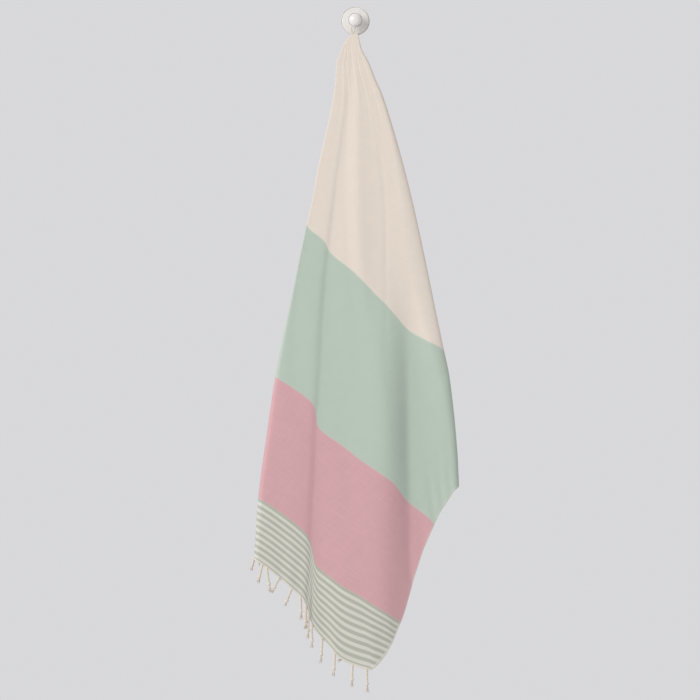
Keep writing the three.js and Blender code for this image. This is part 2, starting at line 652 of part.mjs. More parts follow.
function knobGeometry() {
  const bore = STEM_RADIUS + FIT_GAP;
  const profile = [
    [0, -KNOB_BACK - SOCKET_DEPTH], [bore, -KNOB_BACK - SOCKET_DEPTH], [bore, -KNOB_BACK],
    [KNOB_RADIUS - 1.6, -KNOB_BACK], [KNOB_RADIUS - 0.4, -KNOB_BACK - 0.7],
    [KNOB_RADIUS, -KNOB_BACK - 2],
  ];
  const rise = KNOB_FRONT - KNOB_BACK - 4.5;
  profile.push([KNOB_RADIUS, -KNOB_BACK - 4.5]);
  for (let k = 1; k < 7; k += 1) {
    const angle = (k / 7) * (Math.PI / 2);
    profile.push([KNOB_RADIUS * Math.cos(angle), -KNOB_BACK - 4.5 - rise * Math.sin(angle)]);
  }
  profile.push([0, -KNOB_FRONT]);
  return closedLathe(profile, 36);
}

// ---- Scene graph -------------------------------------------------------------------

const cotton = (color) => new THREE.MeshStandardMaterial({ color, roughness: 0.95, metalness: 0 });
const gloss = (color) => new THREE.MeshStandardMaterial({ color, roughness: 0.25, metalness: 0 });

function piece(name, geometry, material) {
  const mesh = new THREE.Mesh(geometry, material);
  mesh.name = name;
  return mesh;
}

const hook = new THREE.Group();
hook.add(piece('hook_plate', plateGeometry(), gloss(0xf0efec)));
hook.add(piece('hook_stem', stemGeometry(), gloss(0xe6e5e2)));
hook.add(piece('hook_knob', knobGeometry(), gloss(0xf4f3f0)));

const textile = new THREE.Group();
textile.add(piece('towel', towelGeometry(), cotton(0xe4d9cc)));
textile.add(piece('fringe_front', fringeGeometry(0, FRONT_CORNER - 0.3), cotton(0xded4c4)));
textile.add(piece('fringe_back', fringeGeometry(140.1, 180), cotton(0xded4c4)));
textile.add(piece('hanging_loop', loopGeometry(), cotton(0xeae6dd)));

const object = new THREE.Group();
object.add(hook);
object.add(textile);

export default object;
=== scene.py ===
"""Hammam towel on a round knob hook: the dressed model, laid out as an add-on and run as a script."""

import math
import random
from collections import namedtuple

import bpy
import numpy as np
from bpy.props import FloatProperty, FloatVectorProperty, IntProperty, PointerProperty
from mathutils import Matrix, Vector


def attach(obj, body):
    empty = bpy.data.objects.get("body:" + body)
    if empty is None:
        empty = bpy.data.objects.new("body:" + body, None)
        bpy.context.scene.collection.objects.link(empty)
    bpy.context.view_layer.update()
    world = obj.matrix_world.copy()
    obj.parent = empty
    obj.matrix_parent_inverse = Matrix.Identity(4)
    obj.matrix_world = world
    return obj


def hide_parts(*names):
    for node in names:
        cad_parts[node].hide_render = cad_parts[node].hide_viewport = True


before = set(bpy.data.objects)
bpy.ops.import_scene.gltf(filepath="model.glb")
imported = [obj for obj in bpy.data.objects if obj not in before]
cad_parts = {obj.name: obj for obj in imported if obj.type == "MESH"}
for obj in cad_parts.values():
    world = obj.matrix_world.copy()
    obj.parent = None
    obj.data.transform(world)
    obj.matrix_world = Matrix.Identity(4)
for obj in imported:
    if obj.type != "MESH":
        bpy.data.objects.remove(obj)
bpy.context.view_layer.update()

bl_info = {
    "name": "Hammam Towel on a Hook",
    "version": (1, 0, 0),
    "blender": (4, 5, 0),
    "location": "View3D > Sidebar > Towel",
    "description": "Makes a draped hammam towel with its fringe, loop and knob hook",
    "category": "Add Mesh",
}

MM = 0.001

# ---- Tables of the drape, in millimetres and degrees --------------------------------
#
# A radial line of the cloth starts at the gather under the loop, in the middle of a long side.
# Its turn is its angle on the flat sheet, from 0 along one half of that side to 180 along the
# other half, and reach is the distance along it. The drop is the distance below the gather as
# the cloth hangs, and x is the distance to the right of it. Layer 0 is the front.

HALF_LENGTH = 960.0   # from the loop along the warp to a hem, as it hangs
GATHER_X = -4.4
GATHER_Z = -25.2
TOP_RADIUS = 3.0      # reach at which the cloth starts
STACK_TOP, STACK_LOW, STACK_REACH = 2.15, 3.0, 800.0    # distance from layer to layer
BACK_TOP, BACK_LOW, BACK_REACH = 12.0, 6.5, 260.0       # distance of the last one from the wall
LAST_LAYER = 9
HIDDEN_WIDTH = 0.55   # degrees of cloth on each side of a hidden fold's line that are bent
FRONT_CORNER, BACK_CORNER = 41.1, 138.9


def table(*names, rows):
    """A table with named columns, as one array for each column."""
    return {name: np.array([row[i] for row in rows], float) for i, name in enumerate(names)}


LEFT_OUTLINE = table("drop", "x", rows=[   # of the cloth as it hangs
    (0, -2.4), (5, -4.9), (22.8, -17.6), (31, -22.6), (46, -27), (61.6, -32.6), (78, -34.2),
    (94, -34.8), (112.6, -36.8), (138, -40.6), (176.4, -48.4), (227.4, -60.4), (278.4, -71),
    (334, -81.2), (385.4, -92.6), (536, -123.8), (688, -155), (808, -173), (928, -189),
    (1054, -198), (1116, -203), (1182, -208), (1300, -222)])
RIGHT_OUTLINE = table("drop", "x", rows=[
    (0, 6.8), (5.5, 9.8), (12, 11.4), (31, 16), (59, 30.6), (94, 44.6), (122.8, 57.6), (189.2, 79),
    (252.8, 97), (334, 117.6), (439.6, 140.8), (539.4, 161.2), (639.2, 182), (686, 192),
    (744, 199.4), (794, 204.6), (856, 209.4), (906, 211.6), (983, 219), (1057, 229),
    (1148, 244), (1300, 272)])

# Where the front's lines lie at five reaches, as a share of the way from left to right.
FRONT_REACH = {"high": 200.0, "bend": 450.0, "middle": 800.0, "low": 1050.0, "hem": 1250.0}
FRONT_LINES = table("turn", "high", "bend", "middle", "low", "hem", rows=[
    (26.5, 0, 0, 0, 0, 0),
    (28, 0.034, 0.012, 0.075, 0.07, 0.055),
    (29.5, 0.078, 0.052, 0.145, 0.13, 0.115),
    (31.2, 0.135, 0.118, 0.206, 0.197, 0.165),
    (32.6, 0.195, 0.164, 0.238, 0.243, 0.21),
    (33.6, 0.22, 0.186, 0.249, 0.26, 0.231),
    (35, 0.25, 0.204, 0.2555, 0.2705, 0.254),
    (36.4, 0.28, 0.224, 0.2612, 0.28, 0.278),
    (37.4, 0.305, 0.248, 0.2745, 0.291, 0.312),
    (38.4, 0.34, 0.281, 0.312, 0.332, 0.35),
    (39.8, 0.385, 0.333, 0.379, 0.405, 0.403),
    (41.2, 0.43, 0.387, 0.44, 0.478, 0.525),
    (42.6, 0.475, 0.437, 0.496, 0.548, 0.578),
    (44, 0.52, 0.478, 0.566, 0.612, 0.628),
    (46, 0.59, 0.534, 0.655, 0.7, 0.716),
    (48, 0.655, 0.592, 0.69, 0.76, 0.77),
    (50, 0.72, 0.651, 0.773, 0.848, 0.858),
    (52, 0.785, 0.692, 0.84, 0.895, 0.905),
    (54.4, 0.865, 0.745, 0.905, 0.945, 0.95),
    (56.4, 0.94, 0.88, 0.965, 0.98, 0.982),
    (58, 1, 1, 1, 1, 1)])

# A fold's place is a share of the cloth's width, high up and low down. It has the layer before
# and after its line, and the side that it bulges to, which is 0 for a free edge.
Fold = namedtuple("Fold", "name turn high low before after side")
FOLDS = [Fold(*row) for row in (
    ("long_edge_front", 0.0, 0.42, 0.52, 2, 2, 0),
    ("tuck_front", 7.5, 0.62, 0.79, 2, 1, 1),
    ("outline_left", 26.5, 0.0, 0.0, 1, 0, -1),
    ("outline_right", 58.0, 1.0, 1.0, 0, 3, 1),
    ("second_left", 80.5, 0.2, 0.055, 3, 4, -1),
    ("third_right", 103.5, 0.93, 0.945, 4, 5, 1),
    ("fourth_left", 126.5, 0.2, 0.08, 5, 6, -1),
    ("corner_fold", 139.5, 0.62, 0.46, 6, 7, 1),
    ("fifth_left", 151.0, 0.24, 0.09, 7, 8, -1),
    ("tuck_back", 172.0, 0.86, 0.87, 8, 9, 1),
    ("long_edge_back", 180.0, 0.6, 0.55, 9, 9, 0),
)]
FOLD_REACH = (300.0, 950.0)     # from high up to low down
ROLLS = {"outline_left": (2.2, 0.45), "outline_right": (1.6, 1.8)}  # bent before and after
LOWER_EDGE = table("turn", "reach", rows=[  # the far long side, from corner to corner
    (41.1, 1275), (41.6, 1271), (42.1, 1269), (42.6, 1265), (43.6, 1250), (44.8, 1202),
    (46, 1140), (47, 1107), (48, 1080), (49, 1041), (50, 1013), (51, 997),
    (52.4, 978), (54.5, 957), (56.4, 940), (58, 932), (62, 905), (70, 872),
    (80, 853), (90, 842), (100, 853), (110, 894), (120, 970), (127, 1052),
    (133, 1148), (138.9, 1274)])
SLACK = table("turn", "share", rows=[       # how much of its length a line hangs down
    (0, 0.965), (20, 0.975), (25.6, 1), (59, 1), (67, 0.965), (180, 0.965)])
LIFT = table("turn", "up", rows=[           # how far the hem at the free corner is drawn up
    (0, 0), (36.4, 0), (38, -3), (39.3, -6), (40.4, -6), (41.2, -2), (41.6, 1), (42, 6),
    (42.8, 14), (43.6, 20), (44.6, 21), (46, 18), (49, 5), (52, 0), (180, 0)])
LIFT_REACH = (1105.0, 1255.0)
VALLEY_X = table("drop", "x", rows=[
    (0, 4), (154, 30), (300, 64), (434, 92), (552, 105), (686, 109), (826, 111), (938, 114),
    (1050, 116), (1300, 116)])
CREST_X = table("drop", "x", rows=[
    (0, 2), (154, 11), (300, 13), (434, 17), (504, 23), (552, 30), (686, 46), (826, 57),
    (920, 57), (1050, 50), (1300, 36)])
# How far the crest, the right outline, the groove and the swell stand out or in.
RELIEF = table("drop", "crest", "right", "groove", "swell", rows=[
    (0, 0, 0, 0, 0),
    (60, 0.6, 0.8, 0.2, 0.6),
    (154, 2.2, 2.4, 0.6, 2.2),
    (300, 5, 5.5, 1.25, 3.6),
    (434, 10, 9, 1.9, 3.6),
    (552, 16, 16, 2.4, 1.6),
    (640, 22, 20, 2.5, 1),
    (700, 25, 18, 2.6, 0.8),
    (800, 27, 15, 2.7, 0.8),
    (900, 26, 13, 2.7, 0.8),
    (1300, 22, 12, 2.9, 0.8)])
GROOVE_X = table("drop", "x", rows=[  # the narrow fold on the left of the front
    (60, -5), (140, -11), (280, -29), (392, -42), (504, -54), (644, -62.5), (728, -67),
    (784, -72), (896, -76), (980, -80.5), (1050, -81), (1300, -80)])
CREASE_X = table("drop", "x", rows=[  # a small crease right of the crest
    (200, 50), (252, 55.7), (308, 61.7), (392, 65.7), (588, 66), (700, 68)])
FRONT_TASSELS = [  # place along the front hem, lean to the left in degrees, length
    (467, 15, 28), (497, 14, 36), (508, -7, 45), (541, 27, 32), (577, 22, 37), (604.5, -1, 44),
    (636, 2, 44), (668, 3, 46), (702.6, 1, 43), (743, 4, 46), (781.6, 4, 43), (798, 55, 7),
    (815.6, 2.5, 42), (832.5, -1, 44)]

# ---- Smaller forms of the cloth, in millimetres and degrees -------------------------

LEAN_PASSES, LEAN_LIMIT = 4, 0.28               # a line's lean sideways, in radians
SLACK_REACH = (60, 500)
WAVE_HEIGHT, WAVE_DROP = 1.8, (120, 700)        # long waves that all layers share
WAVE_ACROSS, WAVE_DOWN = 38, 310
CREST_SOFT, CREST_LIMIT = 0.006, 1.3            # rounding of the crest's left foot
SLOPE_HIGH, SLOPE_LOW, SLOPE_DROP = 1.5, 2.1, (400, 620)    # powers from crest to valley
RISE_POWER, RISE_WIDTH = 1.35, 8                # from the valley to the right outline
VALLEY_SOFT, VALLEY_SOFT_LEAST, VALLEY_SOFT_DROP = 5.0, 0.5, (0, 500)
GROOVE_WIDTH, GROOVE_DROP = (5.0, 9.0), (100, 700)
GROOVE_EASE = 3.6     # how much wider the groove is on its right
SWELL_WIDTH, SWELL_DROP = (8.0, 32.0), (0, 300)
FORMS_IN, FORMS_OUT = (27.5, 29.0), (55.0, 56.8)    # turns where the forms below come and go
GATHERS_IN, GATHERS_OUT, GATHER_BEND = (4, 30), (50, 330), 70
GATHERS = ((0.13, 1.15, 0.0, 0.6), (0.09, 2.3, 1.1, 0.0))   # height, rate, phase, sway
CREASE_DEPTH, CREASE_WIDTH = 0.5, 5.5
CREASE_IN, CREASE_OUT = (190, 290), (560, 720)
RIPPLE_DROP = (260, 700)
RIPPLES = ((0.5, 21, 170, 0.7), (0.3, 13, -120, 0.0))       # height, wave across, down, phase
FLUTE_HEIGHT, FLUTE_WIDTH, FLUTE_RATE, FLUTE_PHASE = 0.6, 130, 2.9, 0.8
EDGE_WIDTH = (4.0, 6.0)     # packed threads along the hems and, thinner, the selvedges
SELVEDGE_SHARE = 0.6
COLUMN_STEP, HIDDEN_STEP, COLUMN_GAP = 0.30, 0.92, 0.04     # degrees between two columns
BEND_COLUMNS = 6            # columns on each side of a fold's line
ROWS, ROW_POWER = 136, 1.22
LAST_ROWS = (6.4, 5.0, 3.6, 1.6, 0.0)           # distances from the edge


# ---- Curves through the tables ------------------------------------------------------

def mix(a, b, s):
    return a + (b - a) * s


def ease(v, start, end):
    s = np.clip((v - start) / (end - start), 0.0, 1.0)
    return s * s * (3 - 2 * s)


def curve(k, v, at):
    """Smooth curve through the points (k, v) that doesn't swing past them, flat outside."""
    rise = np.diff(v) / np.diff(k)
    both = rise[:-1] * rise[1:]
    total = np.where(both > 0, rise[:-1] + rise[1:], 1.0)
    tangent = np.concatenate([rise[:1], np.where(both > 0, 2 * both / total, 0.0), rise[-1:]])
    at = np.clip(at, k[0], k[-1])
    i = np.clip(np.searchsorted(k, at, side="right") - 1, 0, len(k) - 2)
    width = k[i + 1] - k[i]
    s = (at - k[i]) / width
    s2, s3 = s * s, s * s * s
    return ((2 * s3 - 3 * s2 + 1) * v[i] + (s3 - 2 * s2 + s) * tangent[i] * width
            + (3 * s2 - 2 * s3) * v[i + 1] + (s3 - s2) * tangent[i + 1] * width)


def follow(of, key, value, at):
    return curve(of[key], of[value], at)


# ---- The drape ----------------------------------------------------------------------

def hem_reach(turn):
    return HALF_LENGTH / abs(math.cos(math.radians(turn)))


def on_hem(turn):
    return turn <= FRONT_CORNER or turn >= BACK_CORNER


def lower_reach(turn):
    return hem_reach(turn) if on_hem(turn) else float(follow(LOWER_EDGE, "turn", "reach", turn))


def front_place(turn, reach):
    """Place of a radial line on the front, as a share of the way from left to right."""
    distances = np.array(list(FRONT_REACH.values()))
    places = np.array([float(follow(FRONT_LINES, "turn", level, turn)) for level in FRONT_REACH])
    return curve(distances, places, reach)


def spacing(reach):
    return mix(STACK_TOP, STACK_LOW, ease(reach, 0, STACK_REACH))


def layer_depth(layer, reach, x, drop):
    back = mix(BACK_TOP, BACK_LOW, ease(reach, 0, BACK_REACH))
    wave = WAVE_HEIGHT * ease(drop, *WAVE_DROP) * np.sin(x / WAVE_ACROSS + drop / WAVE_DOWN)
    return -(back + (LAST_LAYER - layer) * spacing(reach)) + wave


def soft_max(a, b, soft):
    d = a - b
    return 0.5 * (a + b + np.sqrt(d * d + soft * soft)) - 0.5 * soft


def front_relief(x, drop):
    """How far the front stands out: a crest, a valley, a rise at the right and a groove."""
    valley = follow(VALLEY_X, "drop", "x", drop)
    crest = follow(CREST_X, "drop", "x", drop)
    right = follow(RIGHT_OUTLINE, "drop", "x", drop)
    tall, side, groove, swell = (follow(RELIEF, "drop", n, drop)
                                 for n in ("crest", "right", "groove", "swell"))
    past = (x - crest) / (valley - crest)
    down = np.clip(0.5 * (past + np.sqrt(past * past + CREST_SOFT)), 0, CREST_LIMIT)
    hollow = 1 - np.sign(1 - down) * np.abs(1 - down) ** SLOPE_HIGH
    fall = tall * (1 - mix(hollow, down ** SLOPE_LOW, ease(drop, *SLOPE_DROP)))
    beyond = (x - valley) / np.maximum(RISE_WIDTH, right - valley)
    up = side * np.sign(beyond) * np.abs(beyond) ** RISE_POWER
    soft = VALLEY_SOFT * ease(drop, *VALLEY_SOFT_DROP) + VALLEY_SOFT_LEAST
    body = soft_max(soft_max(fall, up, soft), 0, soft)
    off = x - follow(GROOVE_X, "drop", "x", drop)
    wide = mix(*GROOVE_WIDTH, ease(drop, *GROOVE_DROP)) * np.where(off > 0, GROOVE_EASE, 1)
    pinch = groove * np.exp(-(off / wide) ** 2)
    rise = swell * ease((x - crest) / mix(*SWELL_WIDTH, ease(drop, *SWELL_DROP)), -1, 0)
    return body - pinch + rise


def flat_depth(layer, reach, x, drop):
    if layer > 0:
        return layer_depth(layer, reach, x, drop)
    return layer_depth(1, reach, x, drop) - spacing(reach) - front_relief(x, drop)


def bend_widths(fold):
    """Degrees of cloth that are bent before and after a fold's line."""
    return ROLLS.get(fold.name, (HIDDEN_WIDTH, HIDDEN_WIDTH)) if fold.side else (0.0, 0.0)


def fold_bulge(fold, reach, width):
    """How far a fold's two flats lie inside its outermost line."""
    before, after = bend_widths(fold)
    if fold.side == 0:
        return np.zeros_like(reach)
    if fold.name == "outline_left":
        return front_place(fold.turn + after, reach) * width
    if fold.name == "outline_right":
        return (1 - front_place(fold.turn - before, reach)) * width
    return spacing(reach) / 2


def on_bend(fold, bend, line_x, bulge, reach, drop):
    """Place and depth on a fold's round bend, where bend runs from -1 to 1."""
    angle = bend * math.pi / 2
    flat_x = line_x - fold.side * bulge
    before, after = (flat_depth(n, reach, flat_x, drop) for n in (fold.before, fold.after))
    x = line_x - fold.side * bulge * (1 - math.cos(angle))
    return x, mix(before, after, 0.5 + 0.5 * math.sin(angle))


def drape(turn, reach):
    """Points of the cloth's middle surface along one radial line, in millimetres."""
    reach = np.atleast_1d(np.asarray(reach, float))
    near = (reach * mix(1.0, follow(SLACK, "turn", "share", turn), ease(reach, *SLACK_REACH))
            - follow(LIFT, "turn", "up", turn) * ease(reach, *LIFT_REACH))
    panel = 0
    while panel < len(FOLDS) - 2 and turn > FOLDS[panel + 1].turn:
        panel += 1
    first, second = FOLDS[panel], FOLDS[panel + 1]
    start_width, end_width = bend_widths(first)[1], bend_widths(second)[0]
    start_turn, end_turn = first.turn + start_width, second.turn - end_width
    blend = ease(near, *FOLD_REACH)
    lean = np.zeros_like(near)
    for _ in range(LEAN_PASSES):
        drop = near * np.cos(lean)
        left = follow(LEFT_OUTLINE, "drop", "x", drop)
        width = follow(RIGHT_OUTLINE, "drop", "x", drop) - left
        start_x, end_x = (left + mix(f.high, f.low, blend) * width for f in (first, second))
        start_bulge, end_bulge = (fold_bulge(f, near, width) for f in (first, second))
        if turn < start_turn:
            x, y = on_bend(first, (turn - first.turn) / start_width, start_x, start_bulge, near,
                           drop)
        elif turn > end_turn:
            x, y = on_bend(second, (turn - second.turn) / end_width, end_x, end_bulge, near, drop)
        else:
            share = (turn - start_turn) / (end_turn - start_turn)
            if first.after == 0:
                x = left + front_place(turn, near) * width
            else:
                x = mix(start_x - first.side * start_bulge, end_x - second.side * end_bulge, share)
            y = flat_depth(first.after, near, x, drop)
        lean = np.clip(np.arctan2(x, np.maximum(drop, 1)), -LEAN_LIMIT, LEAN_LIMIT)
    return np.stack([GATHER_X + x, y, GATHER_Z - drop], axis=-1)


def creases(turn, points, reach):
    """Small gathers, a crease, ripples and flutes of the front, towards the room."""
    x = points[:, 0] - GATHER_X
    drop = GATHER_Z - points[:, 2]
    shown = float(ease(turn, *FORMS_IN) * (1 - ease(turn, *FORMS_OUT)))
    gathers = ease(drop, *GATHERS_IN) * (1 - ease(drop, *GATHERS_OUT)) * sum(
        height * np.sin(turn * rate + phase + sway * np.sin(drop / GATHER_BEND))
        for height, rate, phase, sway in GATHERS)
    line = follow(CREASE_X, "drop", "x", drop)
    crease = -CREASE_DEPTH * ease(drop, *CREASE_IN) * (1 - ease(drop, *CREASE_OUT)) * np.exp(
        -((x - line) / CREASE_WIDTH) ** 2)
    ripples = ease(drop, *RIPPLE_DROP) * sum(
        height * np.sin(x / across + drop / down + phase)
        for height, across, down, phase in RIPPLES)
    edge = lower_reach(turn) - reach
    flutes = FLUTE_HEIGHT * (1 - ease(edge, 0, FLUTE_WIDTH)) * np.sin(
        turn * FLUTE_RATE + FLUTE_PHASE)
    return shown * (gathers + crease + ripples + flutes)


def cloth_columns():
    """Turns of the sheet's columns, closer on the front and closest on the bends."""
    turns = {0.0, 180.0, FRONT_CORNER, BACK_CORNER}
    for fold in FOLDS:
        if fold.side:
            before, after = bend_widths(fold)
            for k in range(-BEND_COLUMNS, BEND_COLUMNS + 1):
                turns.add(fold.turn + (before if k < 0 else after) * k / BEND_COLUMNS)
    for first, second in zip(FOLDS, FOLDS[1:]):
        start, end = first.turn + bend_widths(first)[1], second.turn - bend_widths(second)[0]
        count = math.ceil((end - start) / (COLUMN_STEP if first.after == 0 else HIDDEN_STEP))
        turns.update(start + (end - start) * k / count for k in range(1, count))
    kept = [0.0]
    for turn in sorted(turns):
        if turn - kept[-1] > COLUMN_GAP:
            kept.append(turn)
    return kept


# ---- Mesh helpers -------------------------------------------------------------------

def new_piece(name, vertices, faces, smooth=True):
    mesh = bpy.data.meshes.new(name)
    mesh.from_pydata([tuple(v) for v in vertices], [], [tuple(f) for f in faces])
    mesh.validate()
    mesh.update()
    piece = bpy.data.objects.new(name, mesh)
    bpy.context.scene.collection.objects.link(piece)
    if smooth:
        mesh.polygons.foreach_set("use_smooth", [True] * len(mesh.polygons))
    return piece


def face_outwards(piece):
    mesh = piece.data
    volume = 0.0
    for face in mesh.polygons:
        p = [mesh.vertices[i].co for i in face.vertices]
        for k in range(1, len(p) - 1):
            volume += p[0].dot(p[k].cross(p[k + 1]))
    if volume < 0:
        mesh.flip_normals()
    mesh.update()
    return piece


def revolve(name, profile, segments):
    """Closed solid of a profile of (radius, depth) about the Y axis, from axis to axis."""
    vertices, rings = [], []
    for radius, depth in profile:
        ring = []
        for k in range(segments if radius > 0 else 1):
            angle = 2 * math.pi * k / segments
            ring.append(len(vertices))
            vertices.append((radius * math.cos(angle), depth, radius * math.sin(angle)))
        rings.append(ring)
    faces = []
    for a, b in zip(rings, rings[1:]):
        for k in range(segments):
            n = (k + 1) % segments
            if len(a) == 1:
                faces.append((a[0], b[k], b[n]))
            elif len(b) == 1:
                faces.append((a[k], b[0], a[n]))
            else:
                faces.append((a[k], b[k], b[n], a[n]))
    return face_outwards(new_piece(name, vertices, faces))


def closed_line(points, count, fine=24):
    """Points at even distances on a smooth closed curve through the given ones."""
    points = [Vector(p) for p in points]
    dense = []
    for i in range(len(points)):
        a, b, c, d = (points[(i + k) % len(points)] for k in (-1, 0, 1, 2))
        for k in range(fine):
            t = k / fine
            dense.append(0.5 * ((2 * b) + (c - a) * t + (2 * a - 5 * b + 4 * c - d) * t * t
                                + (3 * b - a - 3 * c + d) * t * t * t))
    dense.append(points[0])
    along = [0.0]
    for p, q in zip(dense, dense[1:]):
        along.append(along[-1] + (q - p).length)
    found, j = [], 0
    for k in range(count):
        goal = along[-1] * k / count
        while along[j + 1] < goal:
            j += 1
        found.append(dense[j].lerp(dense[j + 1], (goal - along[j]) / (along[j + 1] - along[j])))
    return found


def tube(path, radii, sides, closed=False):
    """Vertices and faces of a tube along a path, as a ring or with closed ends."""
    n = len(path)
    vertices, faces = [], []
    for i, p in enumerate(path):
        before = path[(i - 1) % n] if closed or i > 0 else p
        after = path[(i + 1) % n] if closed or i + 1 < n else p
        along = (after - before).normalized()
        side = Vector((0, 1, 0)).cross(along).normalized()
        other = along.cross(side).normalized()
        for k in range(sides):
            angle = 2 * math.pi * k / sides
            vertices.append(p + (side * math.cos(angle) + other * math.sin(angle)) * radii[i])
    for i in range(n if closed else n - 1):
        for k in range(sides):
            a, b = i * sides + k, i * sides + (k + 1) % sides
            c, d = ((i + 1) % n) * sides + k, ((i + 1) % n) * sides + (k + 1) % sides
            faces.append((a, b, d, c))
    if not closed:
        faces.append(tuple(range(sides))[::-1])
        faces.append(tuple((n - 1) * sides + k for k in range(sides)))
    return vertices, faces


def join_parts(parts):
    vertices, faces = [], []
    for part_vertices, part_faces in parts:
        base = len(vertices)
        vertices += part_vertices
        faces += [tuple(i + base for i in face) for face in part_faces]
    return vertices, faces


def add_attribute(mesh, name, kind, values):
    layer = mesh.attributes.new(name, kind, "POINT")
    layer.data.foreach_set("vector" if kind == "FLOAT_VECTOR" else "value", np.ravel(values))


# ---- Node helpers -------------------------------------------------------------------

class Value:
    """A node's output whose operators add Math nodes."""

    def __init__(self, nodes, socket):
        self.nodes = nodes
        self.socket = socket

    def _math(self, operation, *numbers, clamp=False):
        return self.nodes.node("ShaderNodeMath", {"operation": operation, "use_clamp": clamp},
                               dict(enumerate(numbers)))

    def __add__(self, other):
        return self._math("ADD", self, other)

    def __radd__(self, other):
        return self._math("ADD", other, self)

    def __sub__(self, other):
        return self._math("SUBTRACT", self, other)

    def __rsub__(self, other):
        return self._math("SUBTRACT", other, self)

    def __mul__(self, other):
        return self._math("MULTIPLY", self, other)

    def __rmul__(self, other):
        return self._math("MULTIPLY", other, self)

    def __truediv__(self, other):
        return self._math("DIVIDE", self, other)

    def wave(self):
        return self._math("SINE", self)

    def fraction(self):
        return self._math("FRACT", self)

    def size(self):
        return self._math("ABSOLUTE", self)

    def kept(self):
        """The same value, held between 0 and 1."""
        return self._math("MULTIPLY", self, 1.0, clamp=True)

    def ramp(self, start, end):
        """0 before start, 1 after end, and straight between them."""
        return self.nodes.node("ShaderNodeMapRange", {"clamp": True},
                               {"Value": self, "From Min": start, "From Max": end})


class Nodes:
    """A node tree, with one way to add a node."""

    def __init__(self, tree):
        self.tree = tree

    def node(self, kind, settings=None, sockets=None, out=0):
        """Add a node. A socket takes a value, another node's Value, or a list of these."""
        node = self.tree.nodes.new(kind)
        for key, value in (settings or {}).items():
            setattr(node, key, value)
        for key, value in (sockets or {}).items():
            socket = node.inputs[key]
            for one in value if isinstance(value, list) else [value]:
                if isinstance(one, Value):
                    self.tree.links.new(one.socket, socket)
                else:
                    socket.default_value = (*one, 1.0) if socket.type == "RGBA" else one
        return Value(self, node.outputs[out]) if node.outputs else None

    def blend(self, factor, first, second, mode="MIX"):
        return self.node("ShaderNodeMix", {"data_type": "RGBA", "blend_type": mode},
                         {0: factor, 6: first, 7: second}, out=2)


class Shader(Nodes):
    """A material's node tree."""

    def __init__(self, name):
        self.material = bpy.data.materials.new(name)
        self.material.use_nodes = True
        super().__init__(self.material.node_tree)
        self.tree.nodes.clear()

    def noise(self, place, scale, detail=2.0, roughness=0.5):
        """Noise of one scale, or of a scale for each direction."""
        if isinstance(scale, tuple):
            place = self.node("ShaderNodeVectorMath", {"operation": "MULTIPLY"},
                              {0: place, 1: scale})
            scale = 1.0
        return self.node("ShaderNodeTexNoise", {"noise_dimensions": "3D"}, {
            "Vector": place, "Scale": scale, "Detail": detail, "Roughness": roughness})

    def bump(self, height, strength, distance):
        return self.node("ShaderNodeBump", None, {
            "Strength": strength, "Distance": distance, "Height": height})

    def finished(self, sockets):
        """Give the material its surface, and hand it over."""
        surface = self.node("ShaderNodeBsdfPrincipled", None, sockets)
        self.node("ShaderNodeOutputMaterial", None, {"Surface": surface})
        return self.material


# ---- Materials ----------------------------------------------------------------------

BAND_WOBBLE, BAND_SOFT = 0.0016, 0.0006     # how far a band's edge strays, and its soft half
JOINT_WIDTH = (0.0024, 0.0012)              # pale line where two bands meet, from none to full
JOINT_MINT, JOINT_PINK = 0.3, 0.12
HEM_WIDTH, HEM_STRENGTH = (0.0036, 0.0028), 0.9
RIM_WIDTH, RIM_STRENGTH, RIM_STRIPED = (0.003, 0.0055), 0.25, 0.4
STRIPE_EDGE = (0.2, 0.3)                    # from white to sage, as a share of the repeat
WEFT_CRIMP = 1.15                           # the weft's pitch over the warp's
SLUBS_WEFT, SLUBS_WARP, MOTTLE = (22.0, 720.0, 1.0), (640.0, 16.0, 1.0), (34.0, 34.0, 1.0)
YARN_FIBRES = (900.0, 900.0, 260.0)


